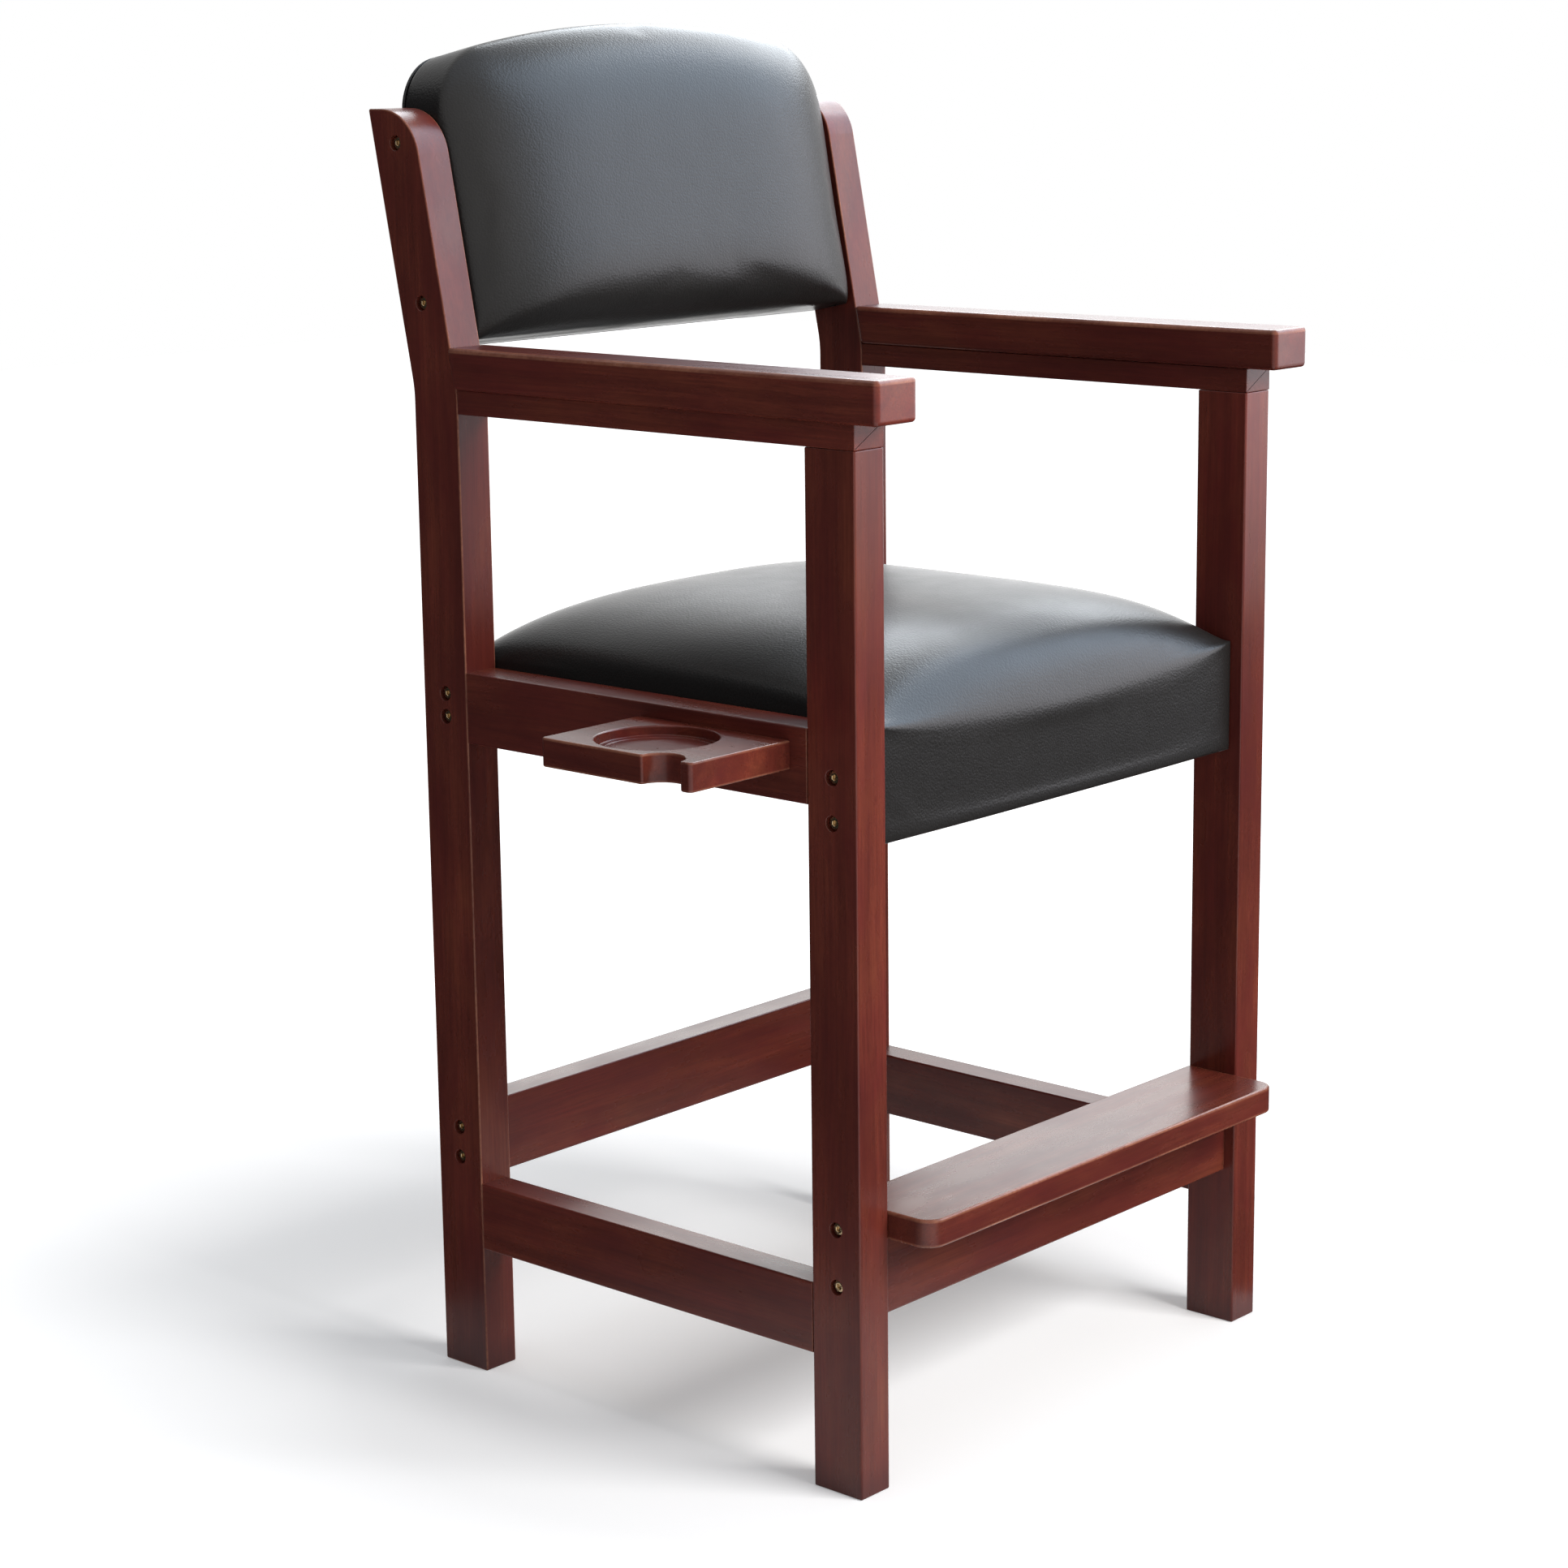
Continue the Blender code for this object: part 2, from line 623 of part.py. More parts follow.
def lean_back(mesh, forward):
    """Stands a mesh made flat on the leaning back: its Y runs up the slope and its Z forward."""
    y, z = up_the_slope(BACK_BOTTOM, forward)
    turn = Matrix.Rotation(math.pi / 2 - LEAN_ANGLE, 4, "X")
    mesh.transform(Matrix.Translation((0, y, z)) @ turn)
    return mesh


def add_back_board(materials):
    outline = back_outline(BACK_SKIN, BACK_SHOULDER_RADIUS)
    mesh = outline_mesh("back_board", outline, BACK_BOARD_THICKNESS)
    lean_back(mesh, BACK_BOARD_REAR + BACK_BOARD_THICKNESS / 2)
    mesh.materials.append(materials["plywood"])
    return make_object("back_board", mesh)


def add_back_cover(materials):
    """The flat rear cover, whose shoulders are squarer than those of the padded front."""
    outline = back_outline(0, BACK_REAR_SHOULDER_RADIUS)
    mesh = outline_mesh("back_cover", outline, BACK_COVER_THICKNESS)
    lean_back(mesh, BACK_REAR + BACK_COVER_THICKNESS / 2)
    mesh.materials.append(materials["vinyl"])
    return make_object("back_cover", mesh)


def add_back_cushion(materials):
    """The padded back: a grid crowned by formula, given side walls, and hollowed for the board.

    The walls widen toward the rear at the shoulders, from the front's radius to the cover's.
    """
    rear = BACK_BOARD_REAR
    rim = BACK_BOARD_FRONT + FIT_GAP + BACK_PAD_EDGE - rear
    bm = bmesh.new()
    bmesh.ops.create_grid(bm, x_segments=BACK_COLUMNS, y_segments=BACK_ROWS, size=1.0)
    for vert in bm.verts:
        across = math.sin(math.pi * vert.co.x / 2)
        up = math.sin(math.pi * vert.co.y / 2)
        pull = BACK_SIDE_PULL * (1 - up ** 2)
        full = crown(
            across, up, BACK_WIDTH_POWER_SHARE, BACK_HEIGHT_POWER_SHARE, BACK_ROUND_SHARE
        )
        top = back_top(across * PAD_HALF, PAD_HALF, BACK_SHOULDER_RADIUS)
        height = top * (1 + up) / 2
        vert.co = (across * (PAD_HALF - pull), height, rim + BACK_CROWN * full)
    walls = bmesh.ops.extrude_face_region(bm, geom=bm.faces[:])
    rear_verts = [item for item in walls["geom"] if isinstance(item, bmesh.types.BMVert)]
    for vert in rear_verts:
        front_top = back_top(vert.co.x, PAD_HALF, BACK_SHOULDER_RADIUS)
        rear_top = back_top(vert.co.x, PAD_HALF, BACK_REAR_SHOULDER_RADIUS)
        vert.co.y *= rear_top / front_top
        vert.co.z = 0
    rear_faces = [face for face in bm.faces if all(vert.co.z == 0 for vert in face.verts)]
    bmesh.ops.dissolve_faces(bm, faces=rear_faces)
    mesh = finish_mesh("back_cushion", bm)
    lean_back(mesh, rear)
    mesh.materials.append(materials["vinyl"])
    cushion = make_object("back_cushion", mesh)
    depth = BACK_BOARD_THICKNESS + FIT_GAP + CUT_OVERRUN
    outline = back_outline(BACK_SKIN - FIT_GAP, BACK_SHOULDER_RADIUS)
    pocket = outline_mesh("back_pocket", outline, depth)
    lean_back(pocket, rear - CUT_OVERRUN + depth / 2)
    modify(cushion, make_object("back_pocket", pocket, group="cutters"), "DIFFERENCE")
    return cushion


def holder_outline():
    """The drink holder from above: X runs out from the rail, and Y back from its front edge.

    The notch is a half round on the outer edge, and a smaller round eases each of its two mouths.
    """
    out = HOLDER_PROJECTION
    nose = HOLDER_CORNER
    notch = (out, HOLDER_LENGTH * NOTCH_LENGTH_SHARE)
    front_tilt, front_mouth = notch_mouth(notch, nose, -1)
    rear_tilt, rear_mouth = notch_mouth(notch, NOTCH_REAR_CORNER, 1)
    quarter = math.pi / 2
    outline = [(0, 0)]
    outline += arc((out - nose, nose), nose, -quarter, 0)
    outline += arc(front_mouth, nose, 0, quarter - front_tilt)
    outline += arc(notch, NOTCH_RADIUS, quarter * 3 - front_tilt, quarter + rear_tilt, ARC_STEPS * 2)[1:-1]
    outline += arc(rear_mouth, NOTCH_REAR_CORNER, rear_tilt - quarter, 0)
    outline += arc((out - nose, HOLDER_LENGTH - nose), nose, 0, quarter)
    outline += [(0, HOLDER_LENGTH)]
    return outline


def notch_mouth(notch, radius, way):
    """The center of the round at one mouth of the notch, and the angle at which the two touch."""
    reach = math.sqrt((NOTCH_RADIUS + radius) ** 2 - radius ** 2)
    tilt = math.asin(radius / (NOTCH_RADIUS + radius))
    return tilt, (notch[0] - radius, notch[1] + way * reach)


def add_drink_holder(rail, materials):
    """A board on the right seat rail, with a round recess for a cup and a notch for a cue."""
    front = FRONT_POST_DEPTH + HOLDER_POST_GAP
    top = SEAT_RAIL_TOP - HOLDER_TOP_INSET
    middle = top - HOLDER_THICKNESS / 2
    root = HALF_WIDTH + FIT_GAP
    mesh = outline_mesh("drink_holder", holder_outline(), HOLDER_THICKNESS, BOARD_EDGE)
    mesh.transform(Matrix.Scale(-1, 4, (1, 0, 0)))
    mesh.flip_normals()
    mesh.materials.append(materials["mahogany"])
    holder = make_object("drink_holder", mesh, (-root, front, middle))
    cup = (-root - HOLDER_PROJECTION * CUP_SIDE_SHARE, front + HOLDER_LENGTH * CUP_LENGTH_SHARE, top)
    lip = arc((CUP_RADIUS + CUP_RIM, -CUP_RIM), CUP_RIM, math.pi / 2, math.pi, ARC_STEPS // 2)
    profile = [(0, CUT_OVERRUN), (CUP_RADIUS + CUP_RIM, CUT_OVERRUN), *lip]
    profile += [(CUP_RADIUS, -CUP_DEPTH), (CUP_DIMPLE, -CUP_DEPTH), (0, -CUP_DEPTH - CUP_DIMPLE)]
    recess = turned_mesh("cup_recess", profile, ARC_STEPS * 8)
    cut_turned(holder, recess, cup, 0, "cup_recess")
    for number, share in enumerate(PEG_PLACE_SHARES, 1):
        place = (-root, front + HOLDER_LENGTH * share, middle)
        add_peg(holder, rail, place, number)
    return holder


def add_peg(holder, rail, place, number):
    """A dowel peg on the holder, and the blind hole in the rail that it is glued into."""
    for piece, radius, word in ((holder, PEG_RADIUS, "peg"), (rail, PEG_RADIUS + FIT_GAP, "peg_hole")):
        reach = PEG_LENGTH if word == "peg" else PEG_LENGTH + FIT_GAP
        profile = [(0, reach), (radius, reach), (radius, -CUT_OVERRUN), (0, -CUT_OVERRUN)]
        mesh = lay_along_x(turned_mesh(word, profile, SHANK_SIDES))
        cutter = make_object(f"{word}_{number}", mesh, place, group="cutters")
        modify(piece, cutter, "UNION" if word == "peg" else "DIFFERENCE")


def bolt_mesh(material):
    """A connector bolt along X: its head stands on X = 0, and its shank runs to -X."""
    edge = BOLT_HEAD_EDGE
    profile = [
        (0, BOLT_HEAD_HEIGHT),
        (BOLT_HEAD_RADIUS - edge, BOLT_HEAD_HEIGHT),
        (BOLT_HEAD_RADIUS, BOLT_HEAD_HEIGHT - edge),
        (BOLT_HEAD_RADIUS, 0),
        (BOLT_RADIUS, 0),
        (BOLT_RADIUS, -BOLT_LENGTH),
        (0, -BOLT_LENGTH),
    ]
    head = make_object("bolt_blank", turned_mesh("bolt_blank", profile, BOLT_SIDES), group="cutters")
    bm = bmesh.new()
    depth = BOLT_HEAD_HEIGHT * SOCKET_DEPTH_SHARE + CUT_OVERRUN
    wide = SOCKET_WIDTH / math.sqrt(3)
    bmesh.ops.create_cone(
        bm, cap_ends=True, segments=6, radius1=wide, radius2=wide, depth=depth
    )
    lift = BOLT_HEAD_HEIGHT + CUT_OVERRUN - depth / 2
    bmesh.ops.translate(bm, verts=bm.verts, vec=(0, 0, lift))
    socket = make_object("bolt_socket", finish_mesh("bolt_socket", bm), group="cutters")
    modify(head, socket, "DIFFERENCE")
    mesh = lay_along_x(settled_mesh(head, "connector_bolt"))
    bpy.data.objects.remove(socket)
    mesh.materials.append(material)
    return mesh


def insert_mesh(material):
    """A threaded insert along X, whose outer end lies at X = 0."""
    profile = [
        (HOLE_RADIUS, 0),
        (INSERT_RADIUS, 0),
        (INSERT_RADIUS, -INSERT_LENGTH),
        (HOLE_RADIUS, -INSERT_LENGTH),
    ]
    mesh = lay_along_x(turned_mesh("threaded_insert", profile, SHANK_SIDES, closed=True))
    mesh.materials.append(material)
    return mesh


def joint_meshes(materials):
    """The bolt, the insert, and the cutters of a post's hole, a rail's hole and a blind hole.

    A cutter has its X = 0 on the face that the drill enters, or on the seat of the bolt's head.
    """
    step = POST_THICKNESS - COUNTERBORE_DEPTH
    post = [
        (0, COUNTERBORE_DEPTH + CUT_OVERRUN),
        (COUNTERBORE_RADIUS, COUNTERBORE_DEPTH + CUT_OVERRUN),
        (COUNTERBORE_RADIUS, 0),
        (HOLE_RADIUS, 0),
        (HOLE_RADIUS, -step - CUT_OVERRUN),
        (0, -step - CUT_OVERRUN),
    ]
    wide = INSERT_RADIUS + FIT_GAP
    deep = BOLT_LENGTH + FIT_GAP - step + BOLT_RADIUS
    rail = [
        (0, CUT_OVERRUN),
        (wide, CUT_OVERRUN),
        (wide, -INSERT_LENGTH - FIT_GAP),
        (HOLE_RADIUS, -INSERT_LENGTH - FIT_GAP),
        (HOLE_RADIUS, -deep),
        (0, -deep),
    ]
    blind = [(0, CUT_OVERRUN), (HOLE_RADIUS, CUT_OVERRUN), (HOLE_RADIUS, -deep), (0, -deep)]
    return {
        "bolt": bolt_mesh(materials["bolt"]),
        "insert": insert_mesh(materials["insert"]),
        "post": lay_along_x(turned_mesh("post_hole", post, BOLT_SIDES)),
        "rail": lay_along_x(turned_mesh("rail_hole", rail, SHANK_SIDES)),
        "blind": lay_along_x(turned_mesh("blind_hole", blind, SHANK_SIDES)),
    }


def bolted_joints(rails, footrest, back_parts):
    """Each joint's name, its post, the pieces that it holds, and the Y and Z of its bolts."""
    front_seat = shares_of(
        FRONT_RAIL_BOTTOM, CROSS_RAIL_TOP - FRONT_RAIL_BOTTOM, FRONT_SEAT_BOLT_SHARES
    )
    rear_seat = shares_of(SEAT_RAIL_BOTTOM, SEAT_RAIL_HEIGHT - DECK_REBATE, REAR_SEAT_BOLT_SHARES)
    rear_low = shares_of(REAR_STRETCHER_BOTTOM, REAR_STRETCHER_HEIGHT, REAR_STRETCHER_BOLT_SHARES)
    front_low = shares_of(
        FRONT_STRETCHER_BOTTOM, FRONT_STRETCHER_HEIGHT, FRONT_STRETCHER_BOLT_SHARES
    )
    board = shares_of(FOOTREST_BOTTOM, FOOTREST_THICKNESS, FOOTREST_BOLT_SHARES)
    slope = shares_of(BACK_BOTTOM, BACK_HEIGHT, BACK_BOLT_SHARES)
    back = [up_the_slope(along, -LEAN_POST_DEPTH / 2) for along in slope]
    return (
        ("rear_seat", "rear", [rails["rear_seat_rail"]], [(REAR_BOLT_Y, z) for z in rear_seat]),
        ("front_seat", "front", [rails["front_seat_rail"]], [(FRONT_BOLT_Y, z) for z in front_seat]),
        (
            "rear_stretcher",
            "rear",
            [rails["rear_lower_stretcher"]],
            [(REAR_BOLT_Y, z) for z in rear_low],
        ),
        (
            "front_stretcher",
            "front",
            [rails["front_lower_stretcher"]],
            [(FRONT_BOLT_Y, z) for z in front_low],
        ),
        ("footrest", "front", [footrest], [(FRONT_BOLT_Y, z) for z in board]),
        ("back", "rear", back_parts, back),
    )


def add_bolts(side, sign, posts, joints, shapes):
    """Drills each joint, and adds its bolts and, in the rails, their threaded inserts."""
    turn = 0 if sign > 0 else math.pi
    seat = HALF_WIDTH - COUNTERBORE_DEPTH
    for name, end, held, places in joints:
        for number, (y, z) in enumerate(places, 1):
            word = f"{side}_{name}_bolt_{number}"
            cut_turned(posts[end], shapes["post"], (sign * seat, y, z), turn, f"{word}_hole")
            for piece in held:
                kind = "blind" if name == "back" else "rail"
                spot = (sign * CLEAR_HALF, y, z)
                cut_turned(piece, shapes[kind], spot, turn, f"{word}_{piece.name}_hole")
            make_object(word, shapes["bolt"], (sign * (seat + FIT_GAP), y, z), turn)
            if name != "back":
                place = (sign * (CLEAR_HALF - FIT_GAP), y, z)
                make_object(f"{side}_{name}_insert_{number}", shapes["insert"], place, turn)


def center_on_floor():
    """Moves the empty so that the origin is on the floor, under the middle of all the pieces."""
    bpy.context.view_layer.update()
    graph = bpy.context.evaluated_depsgraph_get()
    corners = []
    for thing in bpy.data.collections["billiard_spectator_chair"].objects:
        if thing.type == "MESH":
            solid = thing.evaluated_get(graph)
            corners += [solid.matrix_world @ vert.co for vert in solid.data.vertices]
    xs = [corner.x for corner in corners]
    ys = [corner.y for corner in corners]
    bpy.data.objects["chair_origin"].location = (-(min(xs) + max(xs)) / 2, -(min(ys) + max(ys)) / 2, 0)
    bpy.context.view_layer.update()


def main():
    clear_scene()
    origin = bpy.data.objects.new("chair_origin", None)
    bpy.data.collections["billiard_spectator_chair"].objects.link(origin)
    materials = {
        "mahogany": make_material("mahogany", (0.075, 0.016, 0.012), 0.32),
        "plywood": make_material("plywood", (0.42, 0.27, 0.14), 0.7),
        "vinyl": make_material("vinyl", (0.016, 0.017, 0.02), 0.42),
        "bolt": make_material("bolt", (0.72, 0.55, 0.32), 0.3, 1.0),
        "insert": make_material("insert", (0.6, 0.58, 0.52), 0.4, 1.0),
    }
    cross_rails = add_cross_rails(materials)
    footrest = add_footrest(materials)
    add_seat_deck(materials)
    add_seat_cushion(materials)
    board = add_back_board(materials)
    cushion = add_back_cushion(materials)
    add_back_cover(materials)
    joints = bolted_joints(cross_rails, footrest, [board, cushion])
    shapes = joint_meshes(materials)
    for side, sign in SIDES:
        posts = {
            "front": add_front_post(side, sign, materials),
            "rear": add_rear_post(side, sign, materials),
        }
        side_rails = add_side_rails(side, sign, posts, materials)
        add_armrest(side, sign, materials)
        add_bolts(side, sign, posts, joints, shapes)
        if side == "right":
            add_drink_holder(side_rails["seat_side_rail"], materials)
    center_on_floor()


main()
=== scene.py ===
"""A tall spectator chair for a billiard room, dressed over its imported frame.

Lengths are in metres. The chair faces -Y, and its drink holder is on the sitter's right, at -X.
Every board, bolt and pad is a surface worked out with numpy, and stands where the frame's node of
the same kind stands. Each operator makes one group of pieces from the values in the sidebar.
"""

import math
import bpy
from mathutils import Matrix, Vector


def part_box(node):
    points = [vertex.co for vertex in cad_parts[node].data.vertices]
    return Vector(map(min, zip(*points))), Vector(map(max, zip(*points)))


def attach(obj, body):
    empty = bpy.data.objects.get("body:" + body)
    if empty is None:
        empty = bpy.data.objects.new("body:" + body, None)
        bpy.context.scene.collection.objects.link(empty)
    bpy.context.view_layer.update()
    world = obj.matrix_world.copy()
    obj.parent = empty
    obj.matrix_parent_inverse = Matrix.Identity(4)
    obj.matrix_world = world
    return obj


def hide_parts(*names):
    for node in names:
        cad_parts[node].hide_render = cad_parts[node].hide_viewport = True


bl_info = {
    "name": "Billiard Spectator Chair",
    "version": (1, 0, 0),
    "blender": (4, 5, 0),
    "location": "View3D > Sidebar > Chair",
    "description": "Dresses the packed frame of a tall spectator chair in wood, vinyl and steel",
    "category": "Object",
}

import bpy
import numpy as np
from bpy.props import FloatProperty, FloatVectorProperty, IntProperty, PointerProperty
from mathutils import Matrix, Vector

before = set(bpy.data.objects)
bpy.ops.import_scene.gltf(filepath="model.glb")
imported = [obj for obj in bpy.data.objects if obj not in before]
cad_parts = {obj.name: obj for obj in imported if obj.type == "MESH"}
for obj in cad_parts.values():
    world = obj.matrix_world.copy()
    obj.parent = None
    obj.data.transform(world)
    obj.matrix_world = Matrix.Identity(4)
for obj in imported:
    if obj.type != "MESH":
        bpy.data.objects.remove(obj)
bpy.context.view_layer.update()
SIDES = (("right", -1.0), ("left", 1.0))
ROOT = "root"
GAP = 0.0003  # the room left between pieces that meet
MARGIN = 0.0008  # the width of the strip beside a rounded rim that keeps flat faces flat
END_EDGE = 0.0003  # the radius of the rims where a rail's ends meet the posts
CLEAR = 0.002  # how far a cutting shape stands out of the face that it cuts
SWELL_FRAMES = 20  # how long the cloth of a pad is blown up
SAME_PLACE = 1e-5  # points closer than this are the same point
SHARP = math.radians(35)  # an edge that turns by more than this is shaded sharp
LENGTH = {"precision": 4, "unit": "LENGTH"}
COLOUR = {"subtype": "COLOR", "min": 0.0, "max": 1.0}


def frame_places():
    """Places that many pieces share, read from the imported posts."""
    low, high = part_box("right_front_post")
    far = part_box("left_front_post")[1]
    return {
        "middle": (low.x + far.x) / 2,
        "half": (far.x - low.x) / 2,
        "post": high.x - low.x,
        "front": low.y,
        "front_rear": high.y,
        "rear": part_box("right_rear_post")[0].y,
    }


PLACES = frame_places()


def outer_face(sign):
    """X of the outer faces of a side's posts."""
    return PLACES["middle"] + sign * PLACES["half"]


class ChairSizes(bpy.types.PropertyGroup):
    """Sizes that a user would change."""

    post_edge: FloatProperty(
        name="Post edge",
        description="Radius of the eased edges of the posts",
        default=0.0018,
        min=0.0005,
        max=0.008,
        **LENGTH,
    )
    board_edge: FloatProperty(
        name="Board edge",
        description="Radius of the eased edges of rails and stretchers",
        default=0.0015,
        min=0.0005,
        max=0.006,
        **LENGTH,
    )
    arm_edge: FloatProperty(
        name="Arm edge",
        description="Radius of the rounded edges of the armrests",
        default=0.004,
        min=0.001,
        max=0.012,
        **LENGTH,
    )
    footrest_edge: FloatProperty(
        name="Footrest edge",
        description="Radius of the footrest's upper and lower edges",
        default=0.0022,
        min=0.0005,
        max=0.01,
        **LENGTH,
    )
    footrest_corner: FloatProperty(
        name="Footrest corner",
        description="Radius of the footrest's front corners, from above",
        default=0.018,
        min=0.003,
        max=0.04,
        **LENGTH,
    )
    lean: FloatProperty(
        name="Lean",
        description="How far the rear posts and the back lean back",
        default=math.radians(11),
        min=0.0,
        max=math.radians(25),
        subtype="ANGLE",
    )
    bend_height: FloatProperty(
        name="Bend height",
        description="Height of the bend of the rear posts above the floor",
        default=0.9385,
        min=0.8,
        max=1.1,
        **LENGTH,
    )
    post_depth: FloatProperty(
        name="Rear post depth",
        description="Depth of the rear posts from front to back",
        default=0.057,
        min=0.04,
        max=0.08,
        **LENGTH,
    )
    post_round: FloatProperty(
        name="Post round",
        description="Radius of the round at the top of each rear post's front face",
        default=0.048,
        min=0.005,
        max=0.055,
        **LENGTH,
    )
    recess_radius: FloatProperty(
        name="Bolt recess radius",
        description="Radius of the hole in which a bolt's head is sunk",
        default=0.0069,
        min=0.006,
        max=0.01,
        **LENGTH,
    )
    recess_depth: FloatProperty(
        name="Bolt recess depth",
        description="Depth of the hole in which a bolt's head is sunk",
        default=0.0065,
        min=0.004,
        max=0.01,
        **LENGTH,
    )
    cup_radius: FloatProperty(
        name="Cup radius",
        description="Radius of the round recess for a glass",
        default=0.0535,
        min=0.03,
        max=0.056,
        **LENGTH,
    )
    cup_depth: FloatProperty(
        name="Cup depth",
        description="Depth of the round recess for a glass",
        default=0.009,
        min=0.003,
        max=0.018,
        **LENGTH,
    )
    notch_radius: FloatProperty(
        name="Notch radius",
        description="Radius of the half round notch for a cue",
        default=0.0213,
        min=0.01,
        max=0.024,
        **LENGTH,
    )
    seat_swell: FloatProperty(
        name="Seat swell",
        description="The most that the simulation may move a point of the seat",
        default=0.0018,
        min=0.0,
        max=0.02,
        **LENGTH,
    )
    back_swell: FloatProperty(
        name="Back swell",
        description="The most that the simulation may move a point of the back",
        default=0.0018,
        min=0.0,
        max=0.02,
        **LENGTH,
    )
    edge_steps: IntProperty(
        name="Edge steps",
        description="How many faces round each eased edge of a board",
        default=4,
        min=1,
        max=12,
    )


class ChairFinish(bpy.types.PropertyGroup):
    """Colours and finishes that a user would change."""

    stain: FloatVectorProperty(
        name="Stain",
        description="The deep colour of the mahogany stain",
        default=(0.138, 0.0210, 0.0152),
        **COLOUR,
    )
    stain_light: FloatVectorProperty(
        name="Light stain",
        description="The stain where the wood takes less of it",
        default=(0.205, 0.054, 0.026),
        **COLOUR,
    )
    stain_dark: FloatVectorProperty(
        name="Dark fibre",
        description="The colour of the fine dark fibres and pores",
        default=(0.044, 0.0075, 0.0065),
        **COLOUR,
    )
    # the pale edge colour is partly worn stain and partly a painted highlight
    worn_edge_and_highlight: FloatVectorProperty(
        name="Rubbed edge",
        description="The colour of edges that sanding left pale under the lacquer",
        default=(0.40, 0.17, 0.10),
        **COLOUR,
    )
    lacquer_roughness: FloatProperty(
        name="Lacquer roughness",
        description="How dull the lacquer on the wood is",
        default=0.28,
        min=0.05,
        max=1.0,
        subtype="FACTOR",
    )
    vinyl: FloatVectorProperty(
        name="Vinyl",
        description="The colour of the upholstery",
        default=(0.0125, 0.0115, 0.0110),
        **COLOUR,
    )
    vinyl_roughness: FloatProperty(
        name="Vinyl roughness",
        description="How dull the upholstery is",
        default=0.35,
        min=0.1,
        max=1.0,
        subtype="FACTOR",
    )
    bolt: FloatVectorProperty(
        name="Bolt",
        description="The colour of the plated bolts",
        default=(0.46, 0.34, 0.20),
        **COLOUR,
    )


class ChairStage(bpy.types.PropertyGroup):
    """The camera and the floor."""

    camera_place: FloatVectorProperty(
        name="Camera place",
        description="Where the camera stands",
        subtype="XYZ",
        unit="LENGTH",
        default=(-2.430577, -2.143902, 1.2632),
    )
    camera_turn: FloatProperty(
        name="Camera turn",
        description="How far the view turns from +Y towards +X",
        subtype="ANGLE",
        default=math.radians(48.199),
    )
    camera_dip: FloatProperty(
        name="Camera dip",
        description="How far the view looks down",
        subtype="ANGLE",
        default=math.radians(12.196),
    )
    camera_roll: FloatProperty(
        name="Camera roll",
        description="How far the camera is turned about its own view",
        subtype="ANGLE",
        default=math.radians(-0.688),
    )
    camera_lens: FloatProperty(
        name="Camera lens",
        description="Focal length over a 36 mm wide sensor, in millimetres",
        default=80.997,
        min=20.0,
        max=200.0,
    )
    floor: FloatVectorProperty(
        name="Floor",
        description="The colour of the floor",
        default=(0.82, 0.82, 0.83),
        **COLOUR,
    )


def rounded_outline(corners, radii, steps, margin=MARGIN):
    """A closed outline with its corners rounded, as one array of points.

    At each corner the two sides run away along unit vectors a and b, with half the angle between
    them called h. The round's centre lies along a + b at radius / sin(h), and touches each side at
    radius / tan(h). The round is the blend of its two end vectors by the sine of their angle. One
    more point stands margin further out on each side, so that the flat sides stay flat in shading.
    """
    corner = np.asarray(corners, float)
    radius = np.asarray(radii, float)[:, None]
    before = np.roll(corner, 1, axis=0) - corner
    after = np.roll(corner, -1, axis=0) - corner
    a = before / np.linalg.norm(before, axis=1, keepdims=True)
    b = after / np.linalg.norm(after, axis=1, keepdims=True)
    half = np.arccos(np.clip((a * b).sum(1, keepdims=True), -1, 1)) / 2
    toward = a + b
    toward /= np.linalg.norm(toward, axis=1, keepdims=True)
    centre = corner + toward * radius / np.sin(half)
    touch = radius / np.tan(half)
    start, end = corner + a * touch - centre, corner + b * touch - centre
    sweep = (math.pi - 2 * half)[:, None, :]
    share = np.linspace(0, 1, steps + 1)[None, :, None]
    blend = np.sin((1 - share) * sweep) * start[:, None] + np.sin(share * sweep) * end[:, None]
    rounds = centre[:, None] + blend / np.sin(sweep)
    first = (corner + a * (touch + margin))[:, None]
    last = (corner + b * (touch + margin))[:, None]
    return np.concatenate([first, rounds, last], axis=1).reshape(-1, 2)


def arc(centre, radius, start, end, steps):
    """Points on a circle: the centre plus the radius times the cosine and sine of even angles."""
    angle = np.linspace(start, end, steps + 1)
    return np.column_stack([centre[0] + radius * np.cos(angle), centre[1] + radius * np.sin(angle)])


def inward(outline):
    """For each point, the move that brings both its sides in by one: the sum of the two sides'
    inward unit normals, over one plus their dot product."""
    run = np.roll(outline, -1, axis=0) - outline
    run /= np.linalg.norm(run, axis=1, keepdims=True)
    normal = np.column_stack([-run[:, 1], run[:, 0]])
    before = np.roll(normal, 1, axis=0)
    return (normal + before) / (1 + (normal * before).sum(1, keepdims=True))


